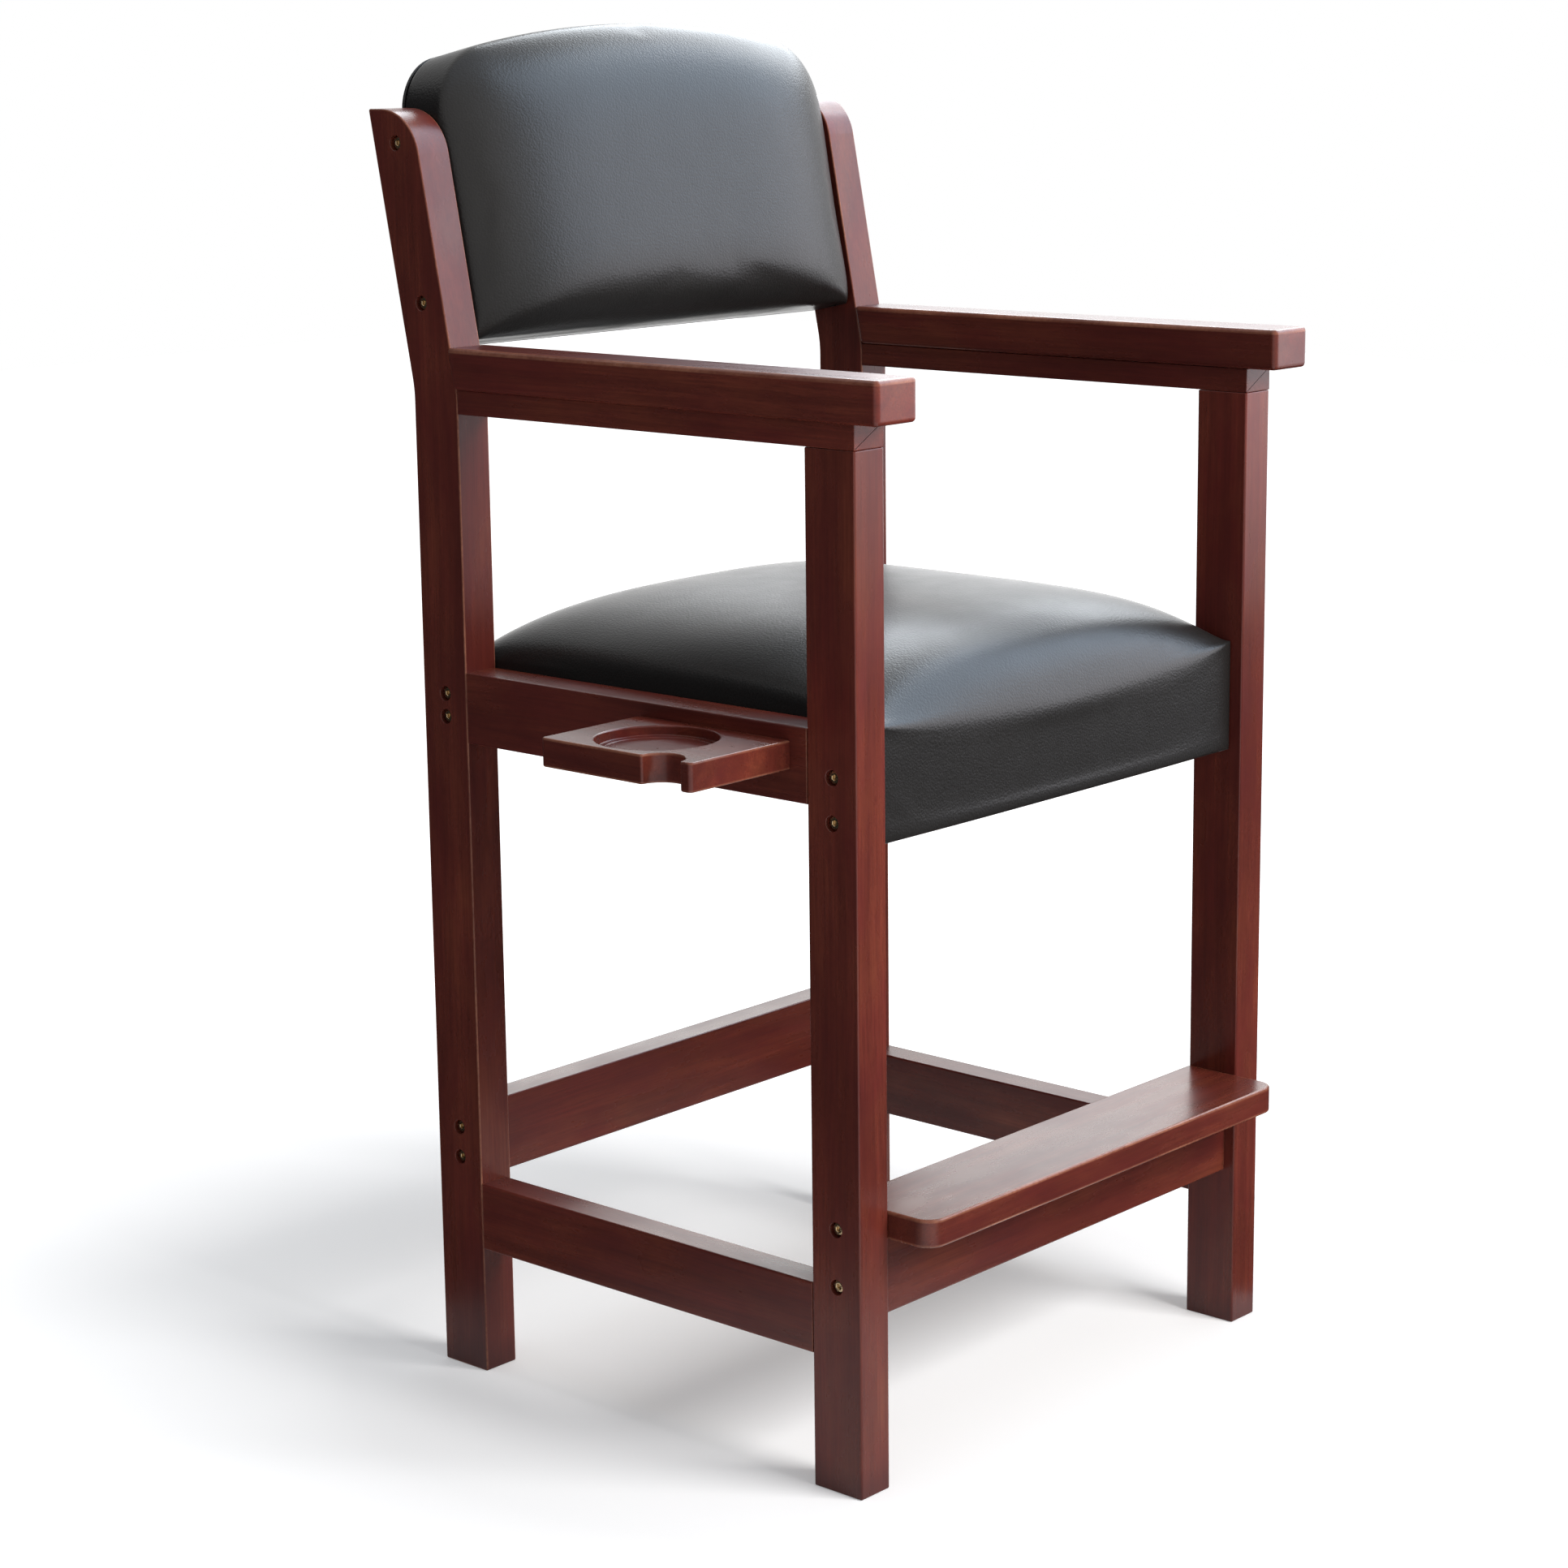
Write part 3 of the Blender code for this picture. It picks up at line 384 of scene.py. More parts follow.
def plate(outline, low, high, edge, steps, margin=MARGIN):
    """A flat outline given a thickness from low to high, with its rims rounded by edge.

    The surface has two parameters: one runs along the outline and the other over the rims. Over a
    rim, at an angle t from 0 to 90 degrees, the outline comes in by edge * (1 - sin t) and drops
    by edge * (1 - cos t). Rows at margin inside and below each rim keep the flats flat.
    """
    t = np.linspace(0, math.pi / 2, steps + 1)
    come_in = np.concatenate([[edge + margin], edge * (1 - np.sin(t)), [0.0]])
    drop = np.concatenate([[0.0], edge * (1 - np.cos(t)), [edge + margin]])
    rim = np.concatenate([[0.0], np.ones(steps + 1), [0.0]])
    inset = np.concatenate([come_in, come_in[::-1]])
    height = np.concatenate([high - drop, low + drop[::-1]])
    flat = outline[None] + inset[:, None, None] * inward(outline)[None]
    rise = np.broadcast_to(height[:, None, None], (*flat.shape[:2], 1))
    points = np.concatenate([flat, rise], axis=2)
    rims = np.repeat(np.concatenate([rim, rim[::-1]]), len(outline))
    return points, rims


def ring_faces(rows, count, first=0):
    """The four-cornered faces between rows of closed rings, outward where the rings run
    anticlockwise and each row is lower than the last, and the two caps."""
    row, place = np.meshgrid(np.arange(rows - 1), np.arange(count), indexing="ij")
    here, there, after = row * count, (row + 1) * count, (place + 1) % count
    corners = [here + place, there + place, there + after, here + after]
    quads = np.stack(corners, axis=-1).reshape(-1, 4)
    top = np.arange(count)
    bottom = (rows - 1) * count + np.arange(count)[::-1]
    return (quads + first).tolist() + [(top + first).tolist(), (bottom + first).tolist()]


def shade(mesh):
    """Smooth shading, but for the edges that turn sharply."""
    mesh.shade_smooth()
    mesh.set_sharp_from_angle(angle=SHARP)


def make_piece(name, points, faces, material, rims=None):
    """A new piece from an array of points, with its rounded rims marked for pale worn edges and
    their painted highlight.
    """
    mesh = bpy.data.meshes.new(name)
    mesh.from_pydata(np.asarray(points, float).reshape(-1, 3), [], faces)
    if rims is not None:
        rim = mesh.attributes.new("rim", "FLOAT", "POINT")
        rim.data.foreach_set("value", rims.astype(np.float32))
    mesh.materials.append(material)
    shade(mesh)
    piece = bpy.data.objects.new(name, mesh)
    bpy.context.scene.collection.objects.link(piece)
    return piece


def stand_for(piece, *nodes):
    """The piece rides on the chair and stands for these nodes of the frame."""
    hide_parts(*nodes)
    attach(piece, ROOT)


def make_board(name, outline, low, high, edge, turn, material, margin=MARGIN):
    """A plate whose own axes are rolled on by turn places, so that its thickness runs along Z, X
    or Y for a turn of 0, 1 or 2."""
    steps = bpy.context.scene.chair_sizes.edge_steps
    points, rims = plate(outline, low, high, edge, steps, margin)
    faces = ring_faces(*points.shape[:2])
    return make_piece(name, np.roll(points, turn, axis=2), faces, material, rims)


def without_wear_or_highlight(piece):
    """Takes away a piece's marks, so that its edges keep their stain, without pale wear or painted
    highlight.
    """
    piece.data.attributes.remove(piece.data.attributes["rim"])


def rectangle(low, high):
    """The four corners of a rectangle, anticlockwise."""
    return [(low[0], low[1]), (high[0], low[1]), (high[0], high[1]), (low[0], high[1])]


def turned(profile, centres, steps, axis, way):
    """A profile of (radius, height) turned about an axis through each centre, as rings.

    A point is the centre plus height along the axis, plus the radius times the cosine and sine of
    the angle along the other two. axis is 0, 1 or 2 for X, Y or Z, and way is 1, or -1 where the
    height runs against it.
    """
    angle = np.arange(steps) * 2 * math.pi / steps
    radius, height = np.asarray(profile, float).T
    ring = np.stack(
        [
            radius[:, None] * np.cos(angle),
            way * radius[:, None] * np.sin(angle),
            np.broadcast_to(way * height[:, None], (len(radius), steps)),
        ],
        axis=-1,
    )
    ring = np.roll(ring, axis + 1, axis=-1)
    return np.asarray(centres, float)[:, None, None, :] + ring[None]


def turned_faces(shape):
    """The faces of several turned shapes, one after another."""
    shapes, rows, steps = shape[:3]
    faces = []
    for number in range(shapes):
        faces += ring_faces(rows, steps, number * rows * steps)
    return faces


def points_of(mesh):
    """The places of a mesh's points, as an array."""
    points = np.empty(len(mesh.vertices) * 3, np.float32)
    mesh.vertices.foreach_get("co", points)
    return points.reshape(-1, 3)


def settle(piece):
    """Applies a piece's modifiers to its mesh."""
    bpy.context.view_layer.update()
    solid = piece.evaluated_get(bpy.context.evaluated_depsgraph_get())
    mesh = bpy.data.meshes.new_from_object(solid)
    piece.modifiers.clear()
    old, name = piece.data, piece.data.name
    piece.data = mesh
    bpy.data.meshes.remove(old)
    mesh.name = name


def cut(piece, points):
    """Cuts turned shapes out of a piece.

    The boolean blends the marks of the rims over its new points. So each point gets the mark of
    the old point in the same place, or none where there was no point.
    """
    old = points_of(piece.data)
    rims = np.empty(len(old), np.float32)
    piece.data.attributes["rim"].data.foreach_get("value", rims)
    mesh = bpy.data.meshes.new("cutter")
    mesh.from_pydata(points.reshape(-1, 3), [], turned_faces(points.shape))
    cutter = bpy.data.objects.new("cutter", mesh)
    bpy.context.scene.collection.objects.link(cutter)
    change = piece.modifiers.new("cut", "BOOLEAN")
    change.operation = "DIFFERENCE"
    change.solver = "EXACT"
    change.object = cutter
    settle(piece)
    bpy.data.objects.remove(cutter)
    apart = np.linalg.norm(points_of(piece.data)[:, None] - old[None], axis=2)
    marks = np.where(apart.min(axis=1) < SAME_PLACE, rims[apart.argmin(axis=1)], 0.0)
    piece.data.attributes["rim"].data.foreach_set("value", marks.astype(np.float32))
    shade(piece.data)
    flat = piece.modifiers.new("flat", "WEIGHTED_NORMAL")
    flat.keep_sharp = True
    flat.weight = 60
    settle(piece)


def bolt_nodes(side):
    """The names of a side's bolts."""
    return sorted(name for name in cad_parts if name.startswith(side) and "_bolt_" in name)


def bolt_centres(side, sign, words):
    """The points where the axes of a side's bolts leave the posts' outer faces."""
    centres = []
    for name in bolt_nodes(side):
        if any(word in name for word in words):
            low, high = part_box(name)
            centres.append((outer_face(sign), (low.y + high.y) / 2, (low.z + high.z) / 2))
    return centres


def sink_bolts(post, side, sign, words):
    """Drills the bolt recesses into a post's outer face, each with a slightly eased mouth."""
    sizes = bpy.context.scene.chair_sizes
    radius, depth, ease, steps = sizes.recess_radius, sizes.recess_depth, 0.0004, 40
    mouth = radius + ease
    profile = [(mouth, CLEAR), (mouth, 0.0), (radius, -ease), (radius, -depth)]
    cut(post, turned(profile, bolt_centres(side, sign, words), steps, 0, sign))


class CHAIR_OT_front_posts(bpy.types.Operator):
    """Makes the two straight front posts"""

    bl_idname = "chair.front_posts"
    bl_label = "Front Posts"

    def execute(self, context):
        sizes = context.scene.chair_sizes
        wood = board_material("upright")
        edge = sizes.post_edge
        end_edge, margin = edge * 0.6, edge * 0.3
        for side, sign in SIDES:
            node = f"{side}_front_post"
            low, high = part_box(node)
            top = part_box(f"{side}_arm_rail")[0].z - GAP
            outline = rounded_outline(rectangle(low, high), [edge] * 4, sizes.edge_steps)
            post = make_board(f"{node}_dressed", outline, low.z, top, end_edge, 0, wood, margin)
            sink_bolts(post, side, sign, ("front_seat", "front_stretcher", "footrest"))
            without_wear_or_highlight(post)
            stand_for(post, node)
        return {"FINISHED"}


class CHAIR_OT_rear_posts(bpy.types.Operator):
    """Makes the two rear posts, which lean back above the bend and are rounded at the top"""

    bl_idname = "chair.rear_posts"
    bl_label = "Rear Posts"

    def execute(self, context):
        sizes = context.scene.chair_sizes
        wood = board_material("upright")
        edge, bend_round, steps = sizes.post_edge, 0.12, 16
        end_edge, margin = edge * 0.6, edge * 0.3
        radii = [edge, edge, bend_round, edge, sizes.post_round, bend_round]
        for side, sign in SIDES:
            node = f"{side}_rear_post"
            low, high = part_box(node)
            front, rear = low.y, low.y + sizes.post_depth
            shift = (high.z - sizes.bend_height) * math.tan(sizes.lean)
            corners = [
                (front, low.z),
                (rear, low.z),
                (rear, sizes.bend_height),
                (rear + shift, high.z),
                (front + shift, high.z),
                (front, sizes.bend_height),
            ]
            outline = rounded_outline(corners, radii, steps)
            outer = outer_face(sign)
            ends = sorted((outer, outer - sign * PLACES["post"]))
            post = make_board(f"{node}_dressed", outline, *ends, end_edge, 1, wood, margin)
            sink_bolts(post, side, sign, ("rear_seat", "rear_stretcher", "back"))
            stand_for(post, node)
        return {"FINISHED"}


class CHAIR_OT_side_rails(bpy.types.Operator):
    """Makes the arm rails, seat rails and lower stretchers of the two side frames"""

    bl_idname = "chair.side_rails"
    bl_label = "Side Rails"

    def execute(self, context):
        sizes = context.scene.chair_sizes
        wood = board_material("lengthwise")
        arm_front, behind_post = PLACES["front"], PLACES["front_rear"] + GAP
        rails = (
            ("arm_rail", arm_front, sizes.board_edge * 0.4),
            ("seat_side_rail", behind_post, sizes.board_edge),
            ("lower_side_stretcher", behind_post, sizes.board_edge),
        )
        for side, _ in SIDES:
            for word, front, edge in rails:
                node = f"{side}_{word}"
                low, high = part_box(node)
                corners = rectangle((low.z, low.x), (high.z, high.x))
                outline = rounded_outline(corners, [edge] * 4, sizes.edge_steps)
                rear = PLACES["rear"] - GAP
                rail = make_board(f"{node}_dressed", outline, front, rear, END_EDGE, 2, wood)
                # the arm rail's edges get no pale wear and no painted highlight
                if word == "arm_rail":
                    without_wear_or_highlight(rail)
                stand_for(rail, node)
        return {"FINISHED"}


class CHAIR_OT_armrests(bpy.types.Operator):
    """Makes the armrests, which widen to the tip and are cut to the slope of the rear posts"""

    bl_idname = "chair.armrests"
    bl_label = "Armrests"

    def execute(self, context):
        sizes = context.scene.chair_sizes
        wood = board_material("lengthwise")
        steps, corner, overhang = sizes.edge_steps + 2, sizes.arm_edge * 1.3, 0.0057
        for side, sign in SIDES:
            node = f"{side}_armrest"
            low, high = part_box(node)
            inner, tip = (low.x, high.x) if sign > 0 else (high.x, low.x)
            heel = outer_face(sign) + sign * overhang
            rear = PLACES["rear"] - GAP + (low.z - sizes.bend_height) * math.tan(sizes.lean)
            corners = [(inner, low.y), (tip, low.y), (heel, rear), (inner, rear)]
            if sign < 0:
                corners = corners[::-1]
            outline = rounded_outline(corners, [corner] * 4, steps)
            points, rims = plate(outline, low.z, high.z, sizes.arm_edge, steps)
            rims[len(rims) // 2 :] = 0  # the lower rims get no pale wear and no painted highlight
            points[..., 1] = slope_rear(points, rear, low.z, sizes)
            faces = ring_faces(*points.shape[:2])
            arm = make_piece(f"{node}_dressed", points, faces, wood, rims)
            stand_for(arm, node)
        return {"FINISHED"}


def slope_rear(points, rear, bottom, sizes):
    """Y moved back by the height above the bottom times the slope, in full near the rear end, and
    fading to nothing 6 mm in front of it."""
    reach, fade = 0.006, 0.002
    share = np.clip((points[..., 1] - rear + reach) / fade, 0, 1)
    return points[..., 1] + share * (points[..., 2] - bottom) * math.tan(sizes.lean)


class CHAIR_OT_cross_rails(bpy.types.Operator):
    """Makes the four boards that tie the side frames together"""

    bl_idname = "chair.cross_rails"
    bl_label = "Cross Rails"

    def execute(self, context):
        sizes = context.scene.chair_sizes
        wood = board_material("crosswise")
        seat_rails = ("rear_seat_rail", "front_seat_rail")
        for node in seat_rails + ("rear_lower_stretcher", "front_lower_stretcher"):
            low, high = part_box(node)
            corners = rectangle((low.y, low.z), (high.y, high.z))
            outline = rounded_outline(corners, [sizes.board_edge] * 4, sizes.edge_steps)
            rail = make_board(f"{node}_dressed", outline, low.x, high.x, END_EDGE, 1, wood)
            stand_for(rail, node)
        return {"FINISHED"}


class CHAIR_OT_footrest(bpy.types.Operator):
    """Makes the footrest board with its rounded front corners"""

    bl_idname = "chair.footrest"
    bl_label = "Footrest"

    def execute(self, context):
        sizes = context.scene.chair_sizes
        wood = board_material("crosswise")
        low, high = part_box("footrest_board")
        edge = sizes.footrest_edge
        radii = [sizes.footrest_corner] * 2 + [edge * 1.5] * 2
        outline = rounded_outline(rectangle(low, high), radii, sizes.edge_steps * 3)
        board = make_board("footrest_board_dressed", outline, low.z, high.z, edge, 0, wood)
        stand_for(board, "footrest_board")
        return {"FINISHED"}


def holder_outline(low, high, sizes):
    """The drink holder from above, anticlockwise, with the rail at +X and the notch in its -X side.

    The notch is a half circle on the outer edge. Each mouth is a smaller circle that touches the
    edge from inside and the notch from outside, so their centres are the sum of the radii apart.
    """
    nose, tail, quarter, notch_share = 0.005, 0.003, math.pi / 2, 0.197
    root, out, notch = high.x, low.x, sizes.notch_radius
    middle = low.y + (high.y - low.y) * notch_share
    front_tilt, rear_tilt = math.asin(nose / (notch + nose)), math.asin(tail / (notch + tail))
    front_y = middle - math.sqrt((notch + nose) ** 2 - nose ** 2)
    rear_y = middle + math.sqrt((notch + tail) ** 2 - tail ** 2)
    return np.vstack(
        [
            [(root, low.y), (root, high.y)],
            [(out + nose + MARGIN, high.y)],
            arc((out + nose, high.y - nose), nose, quarter, math.pi, 8),
            [(out, high.y - nose - MARGIN), (out, rear_y + MARGIN)],
            arc((out + tail, rear_y), tail, math.pi, math.pi * 1.5 - rear_tilt, 6),
            arc((out, middle), notch, quarter - rear_tilt, front_tilt - quarter, 32)[1:-1],
            arc((out + nose, front_y), nose, quarter + front_tilt, math.pi, 8),
            arc((out + nose, low.y + nose), nose, math.pi, math.pi * 1.5, 8)[1:],
            [(out + nose + MARGIN, low.y)],
        ]
    )


def cup_profile(radius, depth):
    """The cup recess from its mouth to its middle: a rounded lip, a wall, a round foot, a shallow
    step and a small dimple. Heights are from the holder's top."""
    lip, fillet, ring, step, dimple, sunk = 0.0018, 0.0012, 0.006, 0.0004, 0.0014, 0.0011
    over = arc((radius + lip, -lip), lip, math.pi / 2, math.pi, 6)
    under = arc((radius - fillet, fillet - depth), fillet, 0, -math.pi / 2, 5)
    floor = [(radius - ring, -depth), (radius - ring - step, -depth - step)]
    middle = [(dimple, -depth - step), (dimple - 0.0005, -depth - sunk)]
    return np.vstack([[(radius + lip, CLEAR)], over, under, floor, middle])


class CHAIR_OT_drink_holder(bpy.types.Operator):
    """Makes the drink holder, with its cue notch and its round recess for a glass"""

    bl_idname = "chair.drink_holder"
    bl_label = "Drink Holder"

    def execute(self, context):
        sizes = context.scene.chair_sizes
        wood = board_material("lengthwise")
        low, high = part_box("drink_holder")
        root = outer_face(-1) - GAP
        high = Vector((root, high.y, high.z))
        outline = holder_outline(low, high, sizes)
        edge, out_share, along_share, steps = 0.0015, 0.504, 0.545, 128
        holder = make_board("drink_holder_dressed", outline, low.z, high.z, edge, 0, wood)
        middle = root - (root - low.x) * out_share
        along = low.y + (high.y - low.y) * along_share
        profile = cup_profile(sizes.cup_radius, sizes.cup_depth)
        cut(holder, turned(profile, [(middle, along, high.z)], steps, 2, 1))
        stand_for(holder, "drink_holder")
        return {"FINISHED"}


BOLT_STEPS = 48
BOLT_ROWS = (
    # radius, height over the head's seat, and share of the hexagon
    (0.0006, 0.0006, 1.0),
    (0.00222, 0.0008, 1.0),
    (0.00225, 0.0011, 1.0),
    (0.00225, 0.0026, 1.0),
    (0.00255, 0.0029, 1.0),
    (0.0034, 0.0030, 0.3),
    (0.0050, 0.0028, 0.0),
    (0.0059, 0.0024, 0.0),
    (0.0064, 0.0017, 0.0),
    (0.0066, 0.0010, 0.0),
    (0.0066, 0.0000, 0.0),
    (0.0030, 0.0000, 0.0),
    (0.0030, -0.0488, 0.0),
    (0.0026, -0.0490, 0.0),
)


def bolt_surface(centres, sign):
    """Bolts with a hexagon socket: rings whose radius is blended from a circle to a hexagon.

    The hexagon's radius at an angle is that of its flats over the cosine of the angle from the
    middle of the nearest flat. A row's radius is multiplied by one plus its share of the hexagon
    times what that adds to one.
    """
    radius, height, share = np.array(BOLT_ROWS).T[..., None]
    angle = np.arange(BOLT_STEPS) * 2 * math.pi / BOLT_STEPS
    from_flat = (angle + math.pi / 6) % (math.pi / 3) - math.pi / 6
    radius = radius * (1 + share * (1 / np.cos(from_flat)[None] - 1))
    out = np.broadcast_to(height * sign, radius.shape)
    shape = np.stack([out, radius * np.cos(angle), sign * radius * np.sin(angle)], axis=-1)
    return np.asarray(centres, float)[:, None, None, :] + shape[None]


class CHAIR_OT_bolts(bpy.types.Operator):
    """Makes the connector bolts, whose heads are sunk in the outer faces of the posts"""

    bl_idname = "chair.bolts"
    bl_label = "Connector Bolts"

    def execute(self, context):
        sizes = context.scene.chair_sizes
        steel = bolt_material()
        for side, sign in SIDES:
            centres = np.array(bolt_centres(side, sign, ("_bolt_",)))
            centres[:, 0] -= sign * (sizes.recess_depth - GAP)
            points = bolt_surface(centres, sign)
            name = f"{side}_bolts_dressed"
            bolts = make_piece(name, points, turned_faces(points.shape), steel)
            stand_for(bolts, *bolt_nodes(side))
        return {"FINISHED"}


def spaced(count):
    """Numbers from -1 to 1 that are closer together at the ends: the sine of even angles."""
    return np.sin(np.linspace(-math.pi / 2, math.pi / 2, count))


def crown(across, along, across_power, along_power, roundness):
    """How full a pad is: one less a power of across, times one less a power of along, and all of
    that to the power of one over the roundness. It is 1 in the middle and 0 at the rim."""
    side = np.clip(1 - np.abs(across) ** across_power, 0, None)
    end = np.clip(1 - np.abs(along) ** along_power, 0, None)
    return (side * end) ** (1 / roundness)


CLOTH = {
    "quality": 6,
    "mass": 0.3,
    "tension_stiffness": 30,
    "compression_stiffness": 30,
    "shear_stiffness": 10,
    "bending_stiffness": 4,
    "vertex_group_mass": "held",
    "use_pressure": True,
    "uniform_pressure_force": 4,
}


def swell(piece, held, most, half):
    """Blows a pad up with cloth, and lets each point move by at most a length.

    held is each point's share of pinning. A move is multiplied by the most over the sum of the
    most and its own length, so it never gets there. No point leaves the space between the posts,
    which is half wide to each side of the middle.
    """
    start = points_of(piece.data)
    group = piece.vertex_groups.new(name="held")
    for weight in np.unique(held):
        group.add(np.flatnonzero(held == weight).tolist(), float(weight), "REPLACE")
    cloth = piece.modifiers.new("swell", "CLOTH")
    for key, value in CLOTH.items():
        setattr(cloth.settings, key, value)
    cloth.settings.effector_weights.gravity = 0
    cloth.collision_settings.use_collision = False
    scene = bpy.context.scene
    for number in range(1, SWELL_FRAMES + 1):
        scene.frame_set(number)
    solid = piece.evaluated_get(bpy.context.evaluated_depsgraph_get())
    move = points_of(solid.data) - start
    length = np.linalg.norm(move, axis=1, keepdims=True)
    move *= most / (most + length)
    final = start + move
    final[:, 0] = np.clip(final[:, 0], PLACES["middle"] - half, PLACES["middle"] + half)
    piece.modifiers.clear()
    piece.vertex_groups.clear()
    scene.frame_set(1)
    piece.data.vertices.foreach_set("co", final.ravel())
    piece.data.update()


def smooth_once(piece):
    """Adds one level of subdivision, and keeps it."""
    change = piece.modifiers.new("smooth", "SUBSURF")
    change.levels = change.render_levels = 1
    settle(piece)
    piece.data.shade_smooth()


def make_pad(node, points, faces, held, most, half):
    """A vinyl pad that is blown up, smoothed and stands for its node."""
    pad = make_piece(f"{node}_dressed", points, faces, vinyl_material())
    swell(pad, held.ravel(), most, half)
    smooth_once(pad)
    stand_for(pad, node)


# The seat's steps and powers, and its sizes in metres
SEAT = {
    "across_steps": 64,
    "under_steps": 3,
    "face_steps": 18,
    "top_steps": 56,
    "held_steps": 3,
    "powers": (2.86, 5.28, 2.28),
    "front_fade": 0.23,
    "rim": 0.004,
    "lift": 0.0012,
    "front_drop": 0.032,
    "front_out": 0.002,
    "corner_back": 0.005,
    "ease": 0.0018,
    "pull": 0.003,
    "rebate": 0.003,
}


def seat_surface(low, high, peak):
    """The seat as strips that run from the underside up the front face, over the top and down
    behind, one for each place across.

    Across and along go from -1 to 1. The top rises from its rim to the peak by the crown of both,
    to a power that grows in front with along to the eighth. The rim drops in front by 32 mm times
    one less across to the fourth, times along squared. The front face stands 2 mm out, less 5 mm
    times across to the fourth. The sides pull in by 3 mm times one less the square of how far a
    point is from the middle of the depth.
    """
    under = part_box("seat_deck")[1].z + GAP
    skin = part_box("rear_seat_rail")[1].z + GAP
    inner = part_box("front_seat_rail")[0].y - GAP
    across = spaced(SEAT["across_steps"] + 1)[:, None]
    along = spaced(SEAT["top_steps"] + 1)[None]
    forward = np.clip(-along, 0, 1)
    depth, ease, rim = high.y - low.y, SEAT["ease"], under + SEAT["rim"]

    def strip(*values):
        """One column for each value, the same for every place across or one for each."""
        return np.hstack([value * np.ones_like(across) for value in values])

    full = crown(across, along, *SEAT["powers"]) ** (1 + SEAT["front_fade"] * forward ** 8)
    front_rim = rim - SEAT["front_drop"] * (1 - across ** 4)
    base = rim + (front_rim - rim) * forward ** 2
    back = SEAT["corner_back"] * across ** 4 - SEAT["front_out"]
    top_y = low.y + depth * (1 + along) / 2 + back * (1 - along) / 2
    top_z = base + (peak - base) * full
    share = np.linspace(0, 1, SEAT["face_steps"], endpoint=False)[None]
    face_y = np.broadcast_to(low.y + back, (len(across), SEAT["face_steps"]))
    face_z = low.z + ease + (front_rim - low.z - ease) * share
    under_y = strip(inner, (inner + low.y) / 2, low.y + ease + back)
    rear = high.y - SEAT["rebate"]
    y = np.hstack([under_y, face_y, top_y, strip(high.y, rear, rear, inner)])
    z = np.hstack([strip(low.z, low.z, low.z), face_z, top_z, strip(skin, skin, under, under)])
    pull = SEAT["pull"] * np.clip(1 - ((y - low.y) / depth * 2 - 1) ** 2, 0, None)
    x = PLACES["middle"] + across * ((high.x - low.x) / 2 - pull)
    return np.stack([x, y, z], axis=-1)


class CHAIR_OT_seat_cushion(bpy.types.Operator):
    """Makes the crowned seat, whose front face hangs down over the front rail"""

    bl_idname = "chair.seat_cushion"
    bl_label = "Seat Cushion"

    def execute(self, context):
        sizes = context.scene.chair_sizes
        low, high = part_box("seat_cushion")
        points = seat_surface(low, high, high.z + SEAT["lift"])
        faces = [face[::-1] for face in ring_faces(*points.shape[:2])]
        held = np.ones(points.shape[:2])
        first = SEAT["under_steps"] + SEAT["held_steps"]
        last = SEAT["under_steps"] + SEAT["face_steps"] + SEAT["top_steps"]
        held[1:-1, first:last] = 0.0
        half = (high.x - low.x) / 2
        make_pad("seat_cushion", points, faces, held, sizes.seat_swell, half)
        return {"FINISHED"}


# The back's steps and powers, and its sizes in metres along its own slope
BACK = {
    "rows": 49,
    "columns": 69,
    "wall_steps": 8,
    "free_steps": 5,
    "bottom": 0.0449,
    "height": 0.28721,
    "arch": 0.031,
    "shoulder": 0.058,
    "rear_shoulder": 0.046,
    "cover_rear": -0.055453,
    "cover_thick": 0.003,
    "cover_edge": 0.0009,
    "board_rear": -0.052153,
    "pocket": 0.0303,
    "wall": 0.0037,
    "rim": 0.0423,
    "crown": 0.045,
    "powers": (4.56, 4.37, 1.0),
    "low_power": 1.7,
    "rim_fade": 0.25,
    "ripple_up": -0.84,
    "ripple_width": 0.12,
    "pull": 0.002,
    "swell_share": 0.4,
}


def on_slope(points, sizes):
    """Stands points of (across, up, forward) on the leaning back.

    Y is the rear posts' front face plus up times the sine of the lean, less forward times its
    cosine. Z is the bend's height plus up times the cosine, plus forward times the sine.
    """
    across, up, forward = np.moveaxis(np.asarray(points, float), -1, 0)
    sine, cosine = math.sin(sizes.lean), math.cos(sizes.lean)
    y = PLACES["rear"] + up * sine - forward * cosine
    z = sizes.bend_height + up * cosine + forward * sine
    return np.stack([PLACES["middle"] + across, y, z], axis=-1)


def back_top(across, half, shoulder):
    """The height of the arched top above the back's bottom edge.

    The arch is a circle through its middle and its two ends. At each shoulder a quarter circle
    takes away its radius less the root of the radius squared less the distance past it squared.
    """
    radius = (half ** 2 + BACK["arch"] ** 2) / (2 * BACK["arch"])
    sag = radius - np.sqrt(radius ** 2 - across ** 2)
    over = np.clip(np.abs(across) - (half - shoulder), 0, None)
    fall = shoulder - np.sqrt(np.clip(shoulder ** 2 - over ** 2, 0, None))
    return BACK["height"] - sag - fall


